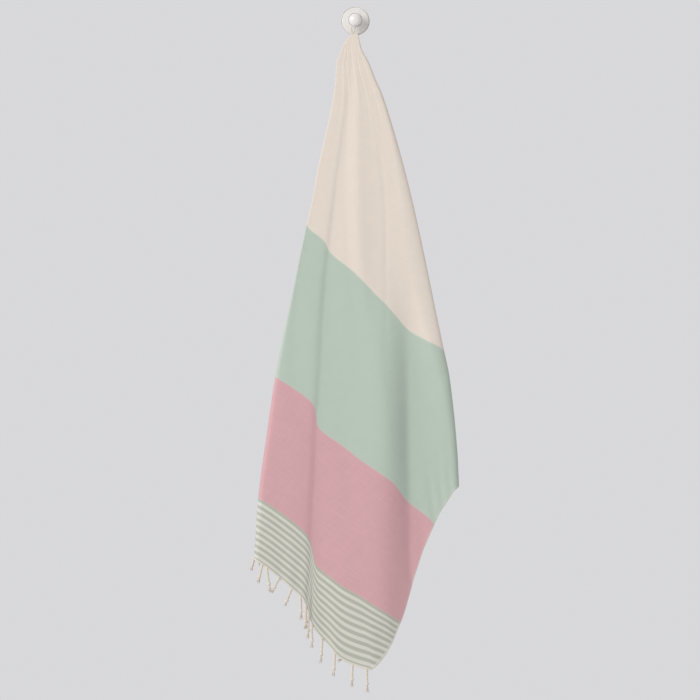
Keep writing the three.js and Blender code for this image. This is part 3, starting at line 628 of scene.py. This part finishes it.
def woven_cotton(cloth):
    """Flat-woven cotton in bands and stripes that follow the cloth's own length."""
    sh = Shader("woven_cotton")
    uv = sh.node("ShaderNodeUVMap", {"uv_map": "cloth"})
    across, warp = (sh.node("ShaderNodeSeparateXYZ", None, {0: uv}, out=i) for i in (0, 1))
    along = warp.size()
    selvedge = sh.node("ShaderNodeAttribute", {"attribute_name": "selvedge"}, out=2)

    place = along + (sh.noise(uv, (16.0, 2.0, 1.0)) - 0.5) * BAND_WOBBLE
    mint, pink, striped = (place.ramp(start - BAND_SOFT, start + BAND_SOFT) for start in (
        cloth.mint_start, cloth.pink_start, cloth.stripes_start))
    phase = ((place - cloth.stripes_start) / cloth.stripe_repeat + 0.5).fraction()
    white = ((1 - (phase - 0.25).size().ramp(*STRIPE_EDGE)) + (
        1 - (phase - 1.25).size().ramp(*STRIPE_EDGE))).kept()

    colour = sh.blend(mint, cloth.cream, cloth.mint)
    colour = sh.blend(pink, colour, cloth.pink)
    colour = sh.blend(striped, colour, sh.blend(white, cloth.sage, cloth.white))
    joint = ((place - cloth.mint_start).size().ramp(*JOINT_WIDTH) * JOINT_MINT
             + (place - cloth.pink_start).size().ramp(*JOINT_WIDTH) * JOINT_PINK)
    colour = sh.blend(joint, colour, cloth.white)
    hem = along.ramp(*(HALF_LENGTH * MM - width for width in HEM_WIDTH)) * HEM_STRENGTH
    rim = (1 - selvedge.ramp(*RIM_WIDTH)) * (RIM_STRENGTH + striped * RIM_STRIPED)
    colour = sh.blend((hem + rim).kept(), colour, cloth.edge)

    # Threads: a fine plain weave, and slubs that run along both threads.
    weave = ((across * (2 * math.pi / cloth.thread_pitch)).wave()
             * (warp * (2 * math.pi / (cloth.thread_pitch * WEFT_CRIMP))).wave())
    slub_weft, slub_warp, mottle = (
        sh.noise(uv, scale, 3.0, 0.6) - 0.5 for scale in (SLUBS_WEFT, SLUBS_WARP, MOTTLE))
    busy = pink * 0.55 + 0.45
    # The weave term lightens the raised thread crossings and darkens the low ones, following the
    # bump's height: painted shade of the weave's relief. The slubs and mottle are the yarn's own
    # tone.
    tone_and_weave_shade = 1 + (slub_weft * 0.20 + slub_warp * 0.14) * busy + mottle * 0.05 + weave * 0.018
    grey = sh.node("ShaderNodeCombineColor", {"mode": "RGB"}, {0: tone_and_weave_shade, 1: tone_and_weave_shade, 2: tone_and_weave_shade})
    height = weave * 0.30 + slub_weft * 0.9 + slub_warp * 0.7
    return sh.finished({
        "Base Color": sh.blend(1.0, colour, grey, "MULTIPLY"), "Roughness": 0.9 + mottle * 0.12,
        "Normal": sh.bump(height, 0.45, 0.00045), "Sheen Weight": 0.25, "Sheen Roughness": 0.6,
        "Specular IOR Level": 0.2})


def toned(colour, factor):
    return tuple(min(1.0, c * factor) for c in colour)


def spun_yarn(name, colour, ply_radius):
    """Soft spun yarn, mottled along its fibres."""
    sh = Shader(name)
    coords = sh.node("ShaderNodeTexCoord", out="Object")
    fibres = sh.noise(coords, YARN_FIBRES, 3.0, 0.6)
    patch = sh.noise(coords, 110.0)
    tone = sh.blend(fibres.ramp(0.3, 0.7), toned(colour, 0.80), toned(colour, 1.08))
    tone = sh.blend(patch.ramp(0.35, 0.75) * 0.25, tone, toned(colour, 0.86))
    return sh.finished({
        "Base Color": tone, "Roughness": 0.88 + (patch - 0.5) * 0.1,
        "Normal": sh.bump(fibres, 0.5, ply_radius * 0.12), "Sheen Weight": 0.3,
        "Sheen Roughness": 0.6, "Specular IOR Level": 0.2})


def moulded_white(name, colour, roughness):
    """Glossy moulded plastic with a faint unevenness."""
    sh = Shader(name)
    coords = sh.node("ShaderNodeTexCoord", out="Object")
    cloudy = sh.noise(coords, 60.0)
    fine = sh.noise(coords, 900.0)
    return sh.finished({
        "Base Color": sh.blend(cloudy.ramp(0.35, 0.7), colour, toned(colour, 0.965)),
        "Roughness": roughness + (fine - 0.5) * 0.08,
        "Normal": sh.bump(fine + cloudy, 0.08, 0.0002), "IOR": 1.49, "Coat Weight": 0.25,
        "Coat Roughness": 0.12})


def matt_floor(colour):
    sh = Shader("matt_floor")
    cloudy = sh.noise(sh.node("ShaderNodeTexCoord", out="Object"), 2.5)
    return sh.finished({
        "Base Color": sh.blend(cloudy.ramp(0.3, 0.7), colour, toned(colour, 0.979)),
        "Roughness": 0.9})


# ---- Sizes and colours --------------------------------------------------------------

def length(name, text, default):
    return FloatProperty(name=name, description=text, default=default, subtype="DISTANCE",
                         unit="LENGTH", precision=5)


def tint(name, text, default):
    return FloatVectorProperty(name=name, description=text, default=default, subtype="COLOR",
                               size=3, min=0.0, max=1.0)


class TowelCloth(bpy.types.PropertyGroup):
    """Sizes and colours of the cloth."""

    thickness: length("Thickness", "Thickness of the woven sheet", 0.0011)
    hem_thickness: length("Hem thickness", "Thickness of the packed picks at a hem", 0.0017)
    mint_start: length("Mint band", "Distance from the loop to the mint band", 0.354)
    pink_start: length("Pink band", "Distance from the loop to the pink band", 0.632)
    stripes_start: length("Stripes", "Distance from the loop to the striped end", 0.850)
    stripe_repeat: length("Stripe repeat", "Width of one white and one sage stripe", 0.0116)
    thread_pitch: length("Thread pitch", "Distance between neighbouring threads", 0.0011)
    cream: tint("Cream", "Colour of the cloth's middle", (0.775, 0.684, 0.593))
    mint: tint("Mint", "Colour of the mint band", (0.480, 0.565, 0.475))
    pink: tint("Pink", "Colour of the pink band", (0.655, 0.380, 0.395))
    white: tint("White stripe", "Colour of the white stripes", (0.660, 0.655, 0.575))
    sage: tint("Sage stripe", "Colour of the sage stripes", (0.455, 0.465, 0.390))
    edge: tint("Edge", "Colour of the hem's last picks", (0.750, 0.700, 0.600))


class TowelFringe(bpy.types.PropertyGroup):
    """Sizes and colour of the fringe."""

    tassels: IntProperty(name="Tassels", description="Tassels on each hem", default=26,
                         min=4, max=60)
    yarn_radius: length("Yarn radius", "Radius of one ply of a tassel", 0.00125)
    knot_radius: length("Knot radius", "Radius of the knot near a tassel's end", 0.0029)
    tassel_length: length("Tassel length", "Length from the hem to the frayed end", 0.042)
    colour: tint("Yarn", "Colour of the yarn", (0.80, 0.72, 0.61))


class TowelHook(bpy.types.PropertyGroup):
    """Sizes and colour of the hook and the loop."""

    plate_radius: length("Plate radius", "Radius of the wall plate", 0.029)
    plate_thickness: length("Plate thickness", "Thickness of the wall plate", 0.006)
    stem_radius: length("Stem radius", "Radius of the stem", 0.0045)
    knob_radius: length("Knob radius", "Radius of the knob", 0.0143)
    knob_back: length("Knob back", "Distance of the knob's back from the wall", 0.027)
    knob_front: length("Knob front", "Distance of the knob's front from the wall", 0.041)
    loop_radius: length("Loop cord radius", "Radius of the loop's cord", 0.00135)
    white: tint("Hook white", "Colour of the hook", (0.815, 0.785, 0.75))
    cord: tint("Loop cord", "Colour of the loop's cord", (0.74, 0.69, 0.58))


class TowelStage(bpy.types.PropertyGroup):
    """Camera, light and floor."""

    distance: length("Camera distance", "Distance of the camera from the wall plane", 8.0)
    view_width: length("View width", "Width that the camera takes in at the cloth", 1.4)
    floor_drop: length("Floor drop", "Height of the hook above the floor", 1.78)
    floor_radius: length("Floor radius", "Radius of the round floor", 3.9)
    key_power: FloatProperty(name="Key light", description="Power of the key light in watts",
                             default=320.0, min=0.0)
    floor: tint("Floor", "Colour of the floor", (0.70, 0.70, 0.72))
    air: tint("Backdrop", "Colour of the pale surroundings behind the towel", (0.69, 0.69, 0.71))
    room: tint("Room", "Colour of the pale surroundings in front", (0.56, 0.56, 0.57))


# ---- Hook ---------------------------------------------------------------------------

FIT_GAP = 0.3 * MM
SOCKET_DEPTH = 3 * MM
CHAMFER = 0.3 * MM
# Each point is a distance inwards from the rim and one out from the back, in millimetres, with
# a narrow shadow groove near the front. The last point is where the dome starts.
PLATE_RIM = ((0.9, 0), (0.3, 0.15), (0, 0.6), (0, 2.4), (0.15, 2.9), (0.5, 3.1), (0.75, 2.9),
             (0.8, 1.4), (2.0, 1.4), (2.05, 3.8), (2.3, 4.25), (2.8, 4.5))
PLATE_DOME, PLATE_DOME_POWER = (5.0, 5.8), 1.6      # from the bore and from the back
PLATE_LIP = (3.4, 5.97)
DOME_STEPS, STEM_STEPS, ROUND_STEPS, CAP_STEPS = 8, 6, 6, 16
KNOB_ROUND = 2.2 * MM
KNOB_RIM = ((0, 3.9), (0.2, 4.2), (0.4, 3.9), (0.45, 2.4), (1.4, 2.4), (1.4, 4.9))


def dress(piece, material, node):
    piece.data.materials.clear()
    piece.data.materials.append(material)
    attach(piece, "root")
    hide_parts(node)


def plate_profile(hook):
    radius, thick = hook.plate_radius, hook.plate_thickness
    bore, seat = hook.stem_radius + FIT_GAP, thick - SOCKET_DEPTH
    points = [(0, 0)] + [(radius - inwards * MM, -out * MM) for inwards, out in PLATE_RIM]
    inwards, out = PLATE_RIM[-1]
    for k in range(1, DOME_STEPS + 1):
        s = k / DOME_STEPS
        points.append((mix(radius - inwards * MM, bore + PLATE_DOME[0] * MM, s),
                       -mix(out, PLATE_DOME[1], s ** PLATE_DOME_POWER) * MM))
    return points + [(bore + PLATE_LIP[0] * MM, -PLATE_LIP[1] * MM), (bore + 0.4 * MM, -thick),
                     (bore, -thick + CHAMFER), (bore, -seat), (0, -seat)]


def stem_profile(hook):
    start = hook.plate_thickness - SOCKET_DEPTH + FIT_GAP
    end = hook.knob_back + SOCKET_DEPTH - FIT_GAP
    r = hook.stem_radius
    points = [(0, -start), (r - CHAMFER, -start), (r, -start - CHAMFER)]
    points += [(r, -mix(start + 2 * CHAMFER, end - 2 * CHAMFER, k / STEM_STEPS))
               for k in range(STEM_STEPS + 1)]
    return points + [(r, -end + CHAMFER), (r - CHAMFER, -end), (0, -end)]


def knob_profile(hook):
    radius, back, bore = hook.knob_radius, hook.knob_back, hook.stem_radius + FIT_GAP
    points = [(0, -back - SOCKET_DEPTH), (bore, -back - SOCKET_DEPTH), (bore, -back - 0.2 * MM),
              (bore + CHAMFER, -back), (radius - KNOB_ROUND, -back)]
    for k in range(1, ROUND_STEPS + 1):
        a = k / ROUND_STEPS * math.pi / 2
        points.append((radius - KNOB_ROUND * (1 - math.sin(a)),
                       -back - KNOB_ROUND * (1 - math.cos(a))))
    points += [(radius - inwards * MM, -back - out * MM) for inwards, out in KNOB_RIM]
    cap_radius, cap_start = radius - KNOB_RIM[-1][0] * MM, back + KNOB_RIM[-1][1] * MM
    for k in range(1, CAP_STEPS):
        a = k / CAP_STEPS * math.pi / 2
        points.append((cap_radius * math.cos(a),
                       -cap_start - (hook.knob_front - cap_start) * math.sin(a)))
    return points + [(0, -hook.knob_front)]


class MakeHook(bpy.types.Operator):
    """Make the wall plate, the stem and the knob"""

    bl_idname = "hammam.make_hook"
    bl_label = "Make Hook"

    def execute(self, context):
        hook = context.scene.towel_hook
        white = moulded_white("hook_white_gloss", tuple(hook.white), 0.24)
        for name, node, profile, segments in (
                ("wall_plate", "hook_plate", plate_profile(hook), 128),
                ("knob_stem", "hook_stem", stem_profile(hook), 64),
                ("round_knob", "hook_knob", knob_profile(hook), 96)):
            dress(revolve(name, profile, segments), white, node)
        return {"FINISHED"}


# ---- Hanging loop -------------------------------------------------------------------

LOOP_DEPTH = -19 * MM
LOOP_TAILS = ((3.0, -7.5), (-0.4, -14), (-2.2, -21.5), (-3.6, -25.8), (-5.8, -25.8),
              (-7.5, -21.5), (-7.4, -15), (-6.9, -8))       # down from the stem and up again
LOOP_STEPS, LOOP_TWISTS = 220, 26
PLY_OFFSET, PLY_RADIUS = 0.46, 0.56                         # as shares of the cord's radius


class MakeLoop(bpy.types.Operator):
    """Make the twisted cord loop that the towel hangs by"""

    bl_idname = "hammam.make_loop"
    bl_label = "Make Hanging Loop"

    def execute(self, context):
        hook = context.scene.towel_hook
        radius = hook.loop_radius
        over = hook.stem_radius + radius + FIT_GAP
        bends = [math.pi - k / 8 * math.pi for k in range(9)]
        points = [(math.cos(a) * over, LOOP_DEPTH, math.sin(a) * over) for a in bends]
        points += [(x * MM, LOOP_DEPTH, z * MM) for x, z in LOOP_TAILS]
        path = closed_line(points, LOOP_STEPS)
        forwards = Vector((0, 1, 0))
        parts = []
        for ply in range(2):
            line = []
            for i, p in enumerate(path):
                along = (path[(i + 1) % LOOP_STEPS] - path[i - 1]).normalized()
                side = forwards.cross(along).normalized()
                angle = 2 * math.pi * (LOOP_TWISTS * i / LOOP_STEPS + ply / 2)
                line.append(p + (side * math.cos(angle) + forwards * math.sin(angle))
                            * radius * PLY_OFFSET)
            parts.append(tube(line, [radius * PLY_RADIUS] * LOOP_STEPS, 7, closed=True))
        loop = face_outwards(new_piece("twisted_loop", *join_parts(parts)))
        dress(loop, spun_yarn("loop_cotton", tuple(hook.cord), radius),
              "hanging_loop")
        return {"FINISHED"}


# ---- Cloth --------------------------------------------------------------------------

FAR_FROM_EDGE = 0.02    # added where a line ends at a hem and not at the long side


def cloth_thickness(cloth, turn, reach):
    """Thickness along one radial line: fuller at the hems and selvedges."""
    edge = lower_reach(turn) - reach
    angle = math.radians(turn)
    across = edge * (abs(math.cos(angle)) if on_hem(turn) else math.sin(angle))
    full = 1 - ease(across, *EDGE_WIDTH)
    extra = (cloth.hem_thickness - cloth.thickness) * (1.0 if on_hem(turn) else SELVEDGE_SHARE)
    return (cloth.thickness + extra * full) / MM


def steps_between(grid):
    """Differences across each point of a grid, along its first axis."""
    return np.concatenate([grid[1:2] - grid[:1], grid[2:] - grid[:-2], grid[-1:] - grid[-2:-1]])


def sheet_faces(columns, rows):
    """Faces of both sides and the rim of a sheet whose front and back are two equal grids."""
    total = columns * rows
    faces = []
    for i in range(columns - 1):
        for j in range(rows - 1):
            a, d = i * rows + j, i * rows + j + 1
            b, c = a + rows, d + rows
            faces.append((a, b, c, d))
            faces.append((total + d, total + c, total + b, total + a))
    last = (columns - 1) * rows
    rim = [((i + 1) * rows, i * rows) for i in range(columns - 1)]
    rim += [(j, j + 1) for j in range(rows - 1)]
    rim += [(i * rows + rows - 1, (i + 1) * rows + rows - 1) for i in range(columns - 1)]
    rim += [(last + j + 1, last + j) for j in range(rows - 1)]
    return faces + [(a, b, total + b, total + a) for a, b in rim]


def map_cloth(mesh, turns, reaches):
    """The UV map that the bands follow, and the distance from the far long side."""
    angles = np.radians(turns)[:, None]
    flat = np.stack([reaches * np.sin(angles), reaches * np.cos(angles)], axis=-1) * MM
    flat = np.tile(flat.reshape(-1, 2), (2, 1))
    vertex = np.empty(len(mesh.loops), np.int32)
    mesh.loops.foreach_get("vertex_index", vertex)
    mesh.uv_layers.new(name="cloth").data.foreach_set(
        "uv", flat[vertex].astype(np.float32).ravel())
    ends = np.array([lower_reach(turn) for turn in turns])[:, None]
    far = np.array([FAR_FROM_EDGE if on_hem(turn) else 0.0 for turn in turns])[:, None]
    selvedge = (ends - reaches) * np.sin(angles) * MM + far
    add_attribute(mesh, "selvedge", "FLOAT", np.tile(selvedge.ravel(), 2).astype(np.float32))


class MakeTowel(bpy.types.Operator):
    """Make the draped cloth with its bands, stripes, hems and selvedges"""

    bl_idname = "hammam.make_towel"
    bl_label = "Make Towel"

    def execute(self, context):
        cloth = context.scene.towel_cloth
        turns = cloth_columns()
        share = (np.arange(ROWS) / (ROWS - 1)) ** ROW_POWER
        middle, thick, reaches = [], [], []
        for turn in turns:
            end = lower_reach(turn)
            reach = TOP_RADIUS + (end - TOP_RADIUS) * share
            reach[-len(LAST_ROWS):] = end - np.array(LAST_ROWS)
            points = drape(turn, reach)
            points[:, 1] -= creases(turn, points, reach)
            middle.append(points)
            thick.append(cloth_thickness(cloth, turn, reach))
            reaches.append(reach)
        middle, thick, reaches = np.array(middle), np.array(thick), np.array(reaches)
        along = steps_between(middle.swapaxes(0, 1)).swapaxes(0, 1)
        normal = np.cross(steps_between(middle), along)
        normal /= np.linalg.norm(normal, axis=2, keepdims=True)
        half = normal * thick[..., None] / 2
        vertices = np.concatenate([middle + half, middle - half]).reshape(-1, 3) * MM
        sheet = face_outwards(new_piece("draped_cloth", vertices, sheet_faces(len(turns), ROWS)))
        map_cloth(sheet.data, turns, reaches)
        dress(sheet, woven_cotton(cloth), "towel")
        return {"FINISHED"}


# ---- Fringe -------------------------------------------------------------------------

TASSEL_FORMS = 4
FRINGE_SEED = 11
FRINGE_FROM = 140.6         # turn at which the back hem's fringe starts, clear of the corner
FRONT_MARGIN = 12           # least distance from the front hem's hidden tassels to the shown
ROOT_INSIDE = 0.2
HIDDEN_SWAY, HIDDEN_LONG, HIDDEN_SLIM = 3.4, 0.8, 0.42
SHOWN_FORWARD, SHOWN_SLIM = 0.03, 1.32
# Of a pair on turns, spread, length or the knot's place, chance decides the second part.
PLY_STEPS, PLY_SIDES = 26, 6
PLY_TURNS, PLY_APART = (2.7, 0.8), 0.72
FORM_TURN = 0.31            # by which the plies start further round in each form
ROOT_DEPTH, ROOT_FLARE, ROOT_SHARE = 1.5 * MM, 0.25, 0.2
TASSEL_BEND = 1.1 * MM
KNOT_PLACE = (0.66, 0.05)
KNOT_STEPS, KNOT_SIDES, KNOT_HALF = 8, 9, 1.1
KNOT_LEAST, KNOT_POWER, KNOT_ENDS = 0.35, 0.6, 0.08
HAIRS, HAIR_SIDES = 14, 4
HAIR_ROOT = (0.7, 0.7)      # millimetres beside the axis, knot radii below the knot's middle
HAIR_TURN, HAIR_SPREAD, HAIR_CURL, HAIR_LENGTH = 0.1, (0.5, 1.9), 1.6, (0.75, 0.35)
HAIR_RADII = (0.42, 0.4, 0.38, 0.34, 0.3, 0.2)


def tassel_plies(fringe, rng, seed, knot_at):
    """Two twisted plies from a little above the root at the origin down to the knot."""
    bend = TASSEL_BEND * (rng.random() - 0.5)
    turns = PLY_TURNS[0] + PLY_TURNS[1] * rng.random()
    plies = []
    for ply in range(2):
        line = []
        for i in range(PLY_STEPS + 1):
            s = i / PLY_STEPS
            angle = 2 * math.pi * (turns * s + ply / 2 + seed * FORM_TURN)
            flare = 1 + ROOT_FLARE * (1 - min(1, s / ROOT_SHARE))
            out = fringe.yarn_radius * PLY_APART * flare
            line.append(Vector((math.cos(angle) * out + bend * math.sin(math.pi * s),
                                math.sin(angle) * out,
                                ROOT_DEPTH - s * (knot_at + ROOT_DEPTH))))
        plies.append(tube(line, [fringe.yarn_radius] * len(line), PLY_SIDES))
    return plies


def tassel_knot(radius, knot_at):
    line, widths = [], []
    for k in range(KNOT_STEPS + 1):
        s = k / KNOT_STEPS
        round_at = math.sin(math.pi * mix(KNOT_ENDS, 1 - KNOT_ENDS, s))
        line.append(Vector((0, 0, -knot_at + radius * mix(KNOT_HALF, -KNOT_HALF, s))))
        widths.append(radius * max(KNOT_LEAST, round_at ** KNOT_POWER))
    return tube(line, widths, KNOT_SIDES)


def tassel_hair(fringe, rng, share, knot_at):
    """One frayed thread below the knot."""
    angle = 2 * math.pi * (share + HAIR_TURN * rng.random())
    spread = HAIR_SPREAD[0] + HAIR_SPREAD[1] * rng.random()
    long = (fringe.tassel_length - knot_at) * (HAIR_LENGTH[0] + HAIR_LENGTH[1] * rng.random())
    curl = (rng.random() - 0.5) * HAIR_CURL * MM
    line = []
    for i in range(len(HAIR_RADII)):
        s = i / (len(HAIR_RADII) - 1)
        out = (HAIR_ROOT[0] + spread * s) * MM
        line.append(Vector((math.cos(angle) * out + curl * s * s, math.sin(angle) * out,
                            -knot_at - fringe.knot_radius * HAIR_ROOT[1] - long * s)))
    return tube(line, [radius * MM for radius in HAIR_RADII], HAIR_SIDES)


def tassel_shape(name, fringe, seed):
    """One knotted tassel of two twisted plies, hanging down from its root at the origin."""
    rng = random.Random(seed)
    knot_at = fringe.tassel_length * (KNOT_PLACE[0] + KNOT_PLACE[1] * rng.random())
    parts = tassel_plies(fringe, rng, seed, knot_at)
    parts.append(tassel_knot(fringe.knot_radius, knot_at))
    parts += [tassel_hair(fringe, rng, hair / HAIRS, knot_at) for hair in range(HAIRS)]
    return face_outwards(new_piece(name, *join_parts(parts)))


def tassel_tree(forms, material):
    """Node tree that sets a tassel on each root point, leaning as the point says."""
    group = bpy.data.node_groups.new("tassel_fringe", "GeometryNodeTree")
    face = group.interface
    face.new_socket("Roots", in_out="INPUT", socket_type="NodeSocketGeometry")
    thickness = face.new_socket("Thickness", in_out="INPUT", socket_type="NodeSocketFloat")
    thickness.default_value = 1.0
    seed = face.new_socket("Seed", in_out="INPUT", socket_type="NodeSocketInt")
    seed.default_value = FRINGE_SEED
    face.new_socket("Fringe", in_out="OUTPUT", socket_type="NodeSocketGeometry")
    tree = Nodes(group)

    def given(name):
        return tree.node("NodeGroupInput", out=name)

    def named(name, kind):
        return tree.node("GeometryNodeInputNamedAttribute", {"data_type": kind}, {"Name": name},
                         out="Attribute")

    def vector(x, y, z):
        return tree.node("ShaderNodeCombineXYZ", None, {0: x, 1: y, 2: z})

    def rotation(angles):
        return tree.node("FunctionNodeEulerToRotation", None, {0: angles})

    spin = tree.node("FunctionNodeRandomValue", {"data_type": "FLOAT"},
                     {3: 2 * math.pi, "Seed": given("Seed")}, out=1)
    way = tree.node("FunctionNodeRotateRotation", {"rotation_space": "GLOBAL"}, {
        0: rotation(vector(0.0, 0.0, spin)), 1: rotation(named("lean", "FLOAT_VECTOR"))})
    width = named("slim", "FLOAT") * given("Thickness")
    size = vector(width, width, named("long", "FLOAT"))
    placed = []
    for number, form in enumerate(forms):
        chosen = tree.node("FunctionNodeCompare", {"data_type": "INT", "operation": "EQUAL"},
                           {2: named("kind", "INT"), 3: number}, out="Result")
        shape = tree.node("GeometryNodeObjectInfo", None, {"Object": form}, out="Geometry")
        placed.append(tree.node("GeometryNodeInstanceOnPoints", None, {
            "Points": given("Roots"), "Selection": chosen, "Instance": shape, "Rotation": way,
            "Scale": size}, out="Instances"))
    joined = tree.node("GeometryNodeJoinGeometry", None, {0: placed})
    real = tree.node("GeometryNodeRealizeInstances", None, {0: joined})
    painted = tree.node("GeometryNodeSetMaterial", None, {"Geometry": real, "Material": material})
    tree.node("NodeGroupOutput", None, {"Fringe": painted})
    return group


def made_plain(name, carrier, tree, values):
    """Run a node tree on a carrier and keep its result as a plain mesh."""
    modifier = carrier.modifiers.new("fringe", "NODES")
    modifier.node_group = tree
    sockets = {item.name: item.identifier for item in tree.interface.items_tree
               if item.in_out == "INPUT"}
    for key, value in values.items():
        modifier[sockets[key]] = value
    bpy.context.view_layer.update()
    graph = bpy.context.evaluated_depsgraph_get()
    mesh = bpy.data.meshes.new_from_object(carrier.evaluated_get(graph))
    mesh.name = name
    piece = bpy.data.objects.new(name, mesh)
    bpy.context.scene.collection.objects.link(piece)
    carrier.modifiers.clear()
    bpy.data.objects.remove(carrier)
    return piece


def tassel_places(fringe, back):
    """Place, lean and length of each tassel of a hem; only the shown ones have all three."""
    hem_width = HALF_LENGTH * math.tan(math.radians(FRONT_CORNER))
    even = [((i + 0.5) / fringe.tassels * hem_width, None, None) for i in range(fringe.tassels)]
    if back:
        return even
    return [row for row in even if row[0] < FRONT_TASSELS[0][0] - FRONT_MARGIN] + FRONT_TASSELS


def tassel_roots(name, fringe, back):
    """Carrier with a point for each tassel's root, and its lean, length and thickness."""
    rng = random.Random(5 if back else 3)
    roots, lean, long, slim, kind = [], [], [], [], []
    for i, (across, sway, hang) in enumerate(tassel_places(fringe, back)):
        angle = math.degrees(math.atan(across / HALF_LENGTH))
        turn = 180 - angle if back else angle
        if back and turn < FRINGE_FROM:
            continue
        shown = sway is not None
        roots.append(drape(turn, hem_reach(turn) - ROOT_INSIDE)[0] * MM)
        tilt = sway if shown else (rng.random() - 0.5) * HIDDEN_SWAY
        forward = -SHOWN_FORWARD * rng.random() if shown else 0.0
        lean.append((forward, math.radians(tilt), 0.0))
        long.append(hang * MM / fringe.tassel_length if shown else HIDDEN_LONG)
        slim.append(SHOWN_SLIM if shown else HIDDEN_SLIM)
        kind.append(i % TASSEL_FORMS)
    carrier = new_piece(name, roots, [], smooth=False)
    for key, sort, values in (("lean", "FLOAT_VECTOR", lean), ("long", "FLOAT", long),
                              ("slim", "FLOAT", slim), ("kind", "INT", kind)):
        add_attribute(carrier.data, key, sort, values)
    return carrier


class MakeFringe(bpy.types.Operator):
    """Make the knotted tassels along both hems"""

    bl_idname = "hammam.make_fringe"
    bl_label = "Make Fringe"

    def execute(self, context):
        fringe = context.scene.towel_fringe
        material = spun_yarn("tassel_yarn", tuple(fringe.colour), fringe.yarn_radius)
        forms = [tassel_shape("tassel_form_%d" % k, fringe, k) for k in range(TASSEL_FORMS)]
        tree = tassel_tree(forms, material)
        for name, node, back in (("front_tassels", "fringe_front", False),
                                 ("back_tassels", "fringe_back", True)):
            carrier = tassel_roots(name + "_roots", fringe, back)
            tassels = made_plain(name, carrier, tree, {"Thickness": 1.0, "Seed": FRINGE_SEED})
            dress(tassels, material, node)
        for form in forms:
            bpy.data.objects.remove(form)
        bpy.data.node_groups.remove(tree)
        return {"FINISHED"}


# ---- Stage --------------------------------------------------------------------------

SENSOR = 36.0
VIEW_CENTRE = (-0.01066, -0.6615)       # X and Z
CLOTH_FRONT = 0.045                     # from the wall plane, where the view width is measured
KEY_PLACE, KEY_AIM, KEY_SIZE = (-4.8, -5.0, 2.0), (0, 0, -0.6), 4.0
BACKDROP_TURN = (-0.5, 0.1)             # Y of a direction, from the room to the backdrop


def pale_room(stage):
    """Surroundings that are paler behind the towel than in front of it."""
    world = bpy.data.worlds.new("pale_room")
    world.use_nodes = True
    nodes = Nodes(world.node_tree)
    way = nodes.node("ShaderNodeTexCoord", out="Generated")
    depth = nodes.node("ShaderNodeSeparateXYZ", None, {0: way}, out=1)
    level = nodes.node("ShaderNodeMapRange", {"interpolation_type": "SMOOTHSTEP"}, {
        "Value": depth, "From Min": BACKDROP_TURN[0], "From Max": BACKDROP_TURN[1]})
    background = world.node_tree.nodes["Background"]
    world.node_tree.links.new(nodes.blend(level, stage.room, stage.air).socket,
                              background.inputs["Color"])
    background.inputs["Strength"].default_value = 1.0
    return world


class MakeStage(bpy.types.Operator):
    """Make the floor, the light and the camera"""

    bl_idname = "hammam.make_stage"
    bl_label = "Make Stage"

    def execute(self, context):
        scene = context.scene
        stage = scene.towel_stage
        scene.view_settings.view_transform = "Standard"
        scene.world = pale_room(stage)

        sides, radius = 128, stage.floor_radius
        ring = [(radius * math.cos(2 * math.pi * k / sides),
                 radius * math.sin(2 * math.pi * k / sides), -stage.floor_drop)
                for k in range(sides)]
        floor = new_piece("pale_floor", ring, [tuple(range(sides))], smooth=False)
        floor.data.materials.append(matt_floor(tuple(stage.floor)))

        light = bpy.data.lights.new("key_light", "AREA")
        light.shape = "DISK"
        light.size = KEY_SIZE
        light.energy = stage.key_power
        lamp = bpy.data.objects.new("key_light", light)
        lamp.location = KEY_PLACE
        lamp.rotation_euler = (Vector(KEY_AIM) - Vector(KEY_PLACE)).to_track_quat(
            "-Z", "Y").to_euler()
        scene.collection.objects.link(lamp)

        camera = bpy.data.cameras.new("front_view")
        camera.sensor_width = SENSOR
        camera.lens = SENSOR * (stage.distance - CLOTH_FRONT) / stage.view_width
        camera.clip_end = 60.0
        eye = bpy.data.objects.new("front_view", camera)
        eye.location = (VIEW_CENTRE[0], -stage.distance, VIEW_CENTRE[1])
        eye.rotation_euler = (math.pi / 2, 0, 0)
        scene.collection.objects.link(eye)
        scene.camera = eye
        return {"FINISHED"}


class TowelPanel(bpy.types.Panel):
    """Lists the towel's sizes and operators"""

    bl_idname = "VIEW3D_PT_hammam_towel"
    bl_label = "Hammam Towel"
    bl_space_type = "VIEW_3D"
    bl_region_type = "UI"
    bl_category = "Towel"

    def draw(self, context):
        for group, operators in (("towel_hook", (MakeHook, MakeLoop)),
                                 ("towel_cloth", (MakeTowel,)), ("towel_fringe", (MakeFringe,)),
                                 ("towel_stage", (MakeStage,))):
            box = self.layout.box()
            for operator in operators:
                box.operator(operator.bl_idname)
            settings = getattr(context.scene, group)
            for name in settings.__annotations__:
                box.prop(settings, name)


GROUPS = {"towel_cloth": TowelCloth, "towel_fringe": TowelFringe, "towel_hook": TowelHook,
          "towel_stage": TowelStage}
CLASSES = (TowelCloth, TowelFringe, TowelHook, TowelStage, MakeHook, MakeLoop, MakeTowel,
           MakeFringe, MakeStage, TowelPanel)


def register():
    for item in CLASSES:
        bpy.utils.register_class(item)
    for name, group in GROUPS.items():
        setattr(bpy.types.Scene, name, PointerProperty(type=group))


def unregister():
    for name in GROUPS:
        delattr(bpy.types.Scene, name)
    for item in reversed(CLASSES):
        bpy.utils.unregister_class(item)


def main():
    register()
    for step in (bpy.ops.hammam.make_hook, bpy.ops.hammam.make_loop, bpy.ops.hammam.make_towel,
                 bpy.ops.hammam.make_fringe, bpy.ops.hammam.make_stage):
        step()
    bpy.context.view_layer.update()


if __name__ == "__main__":
    main()
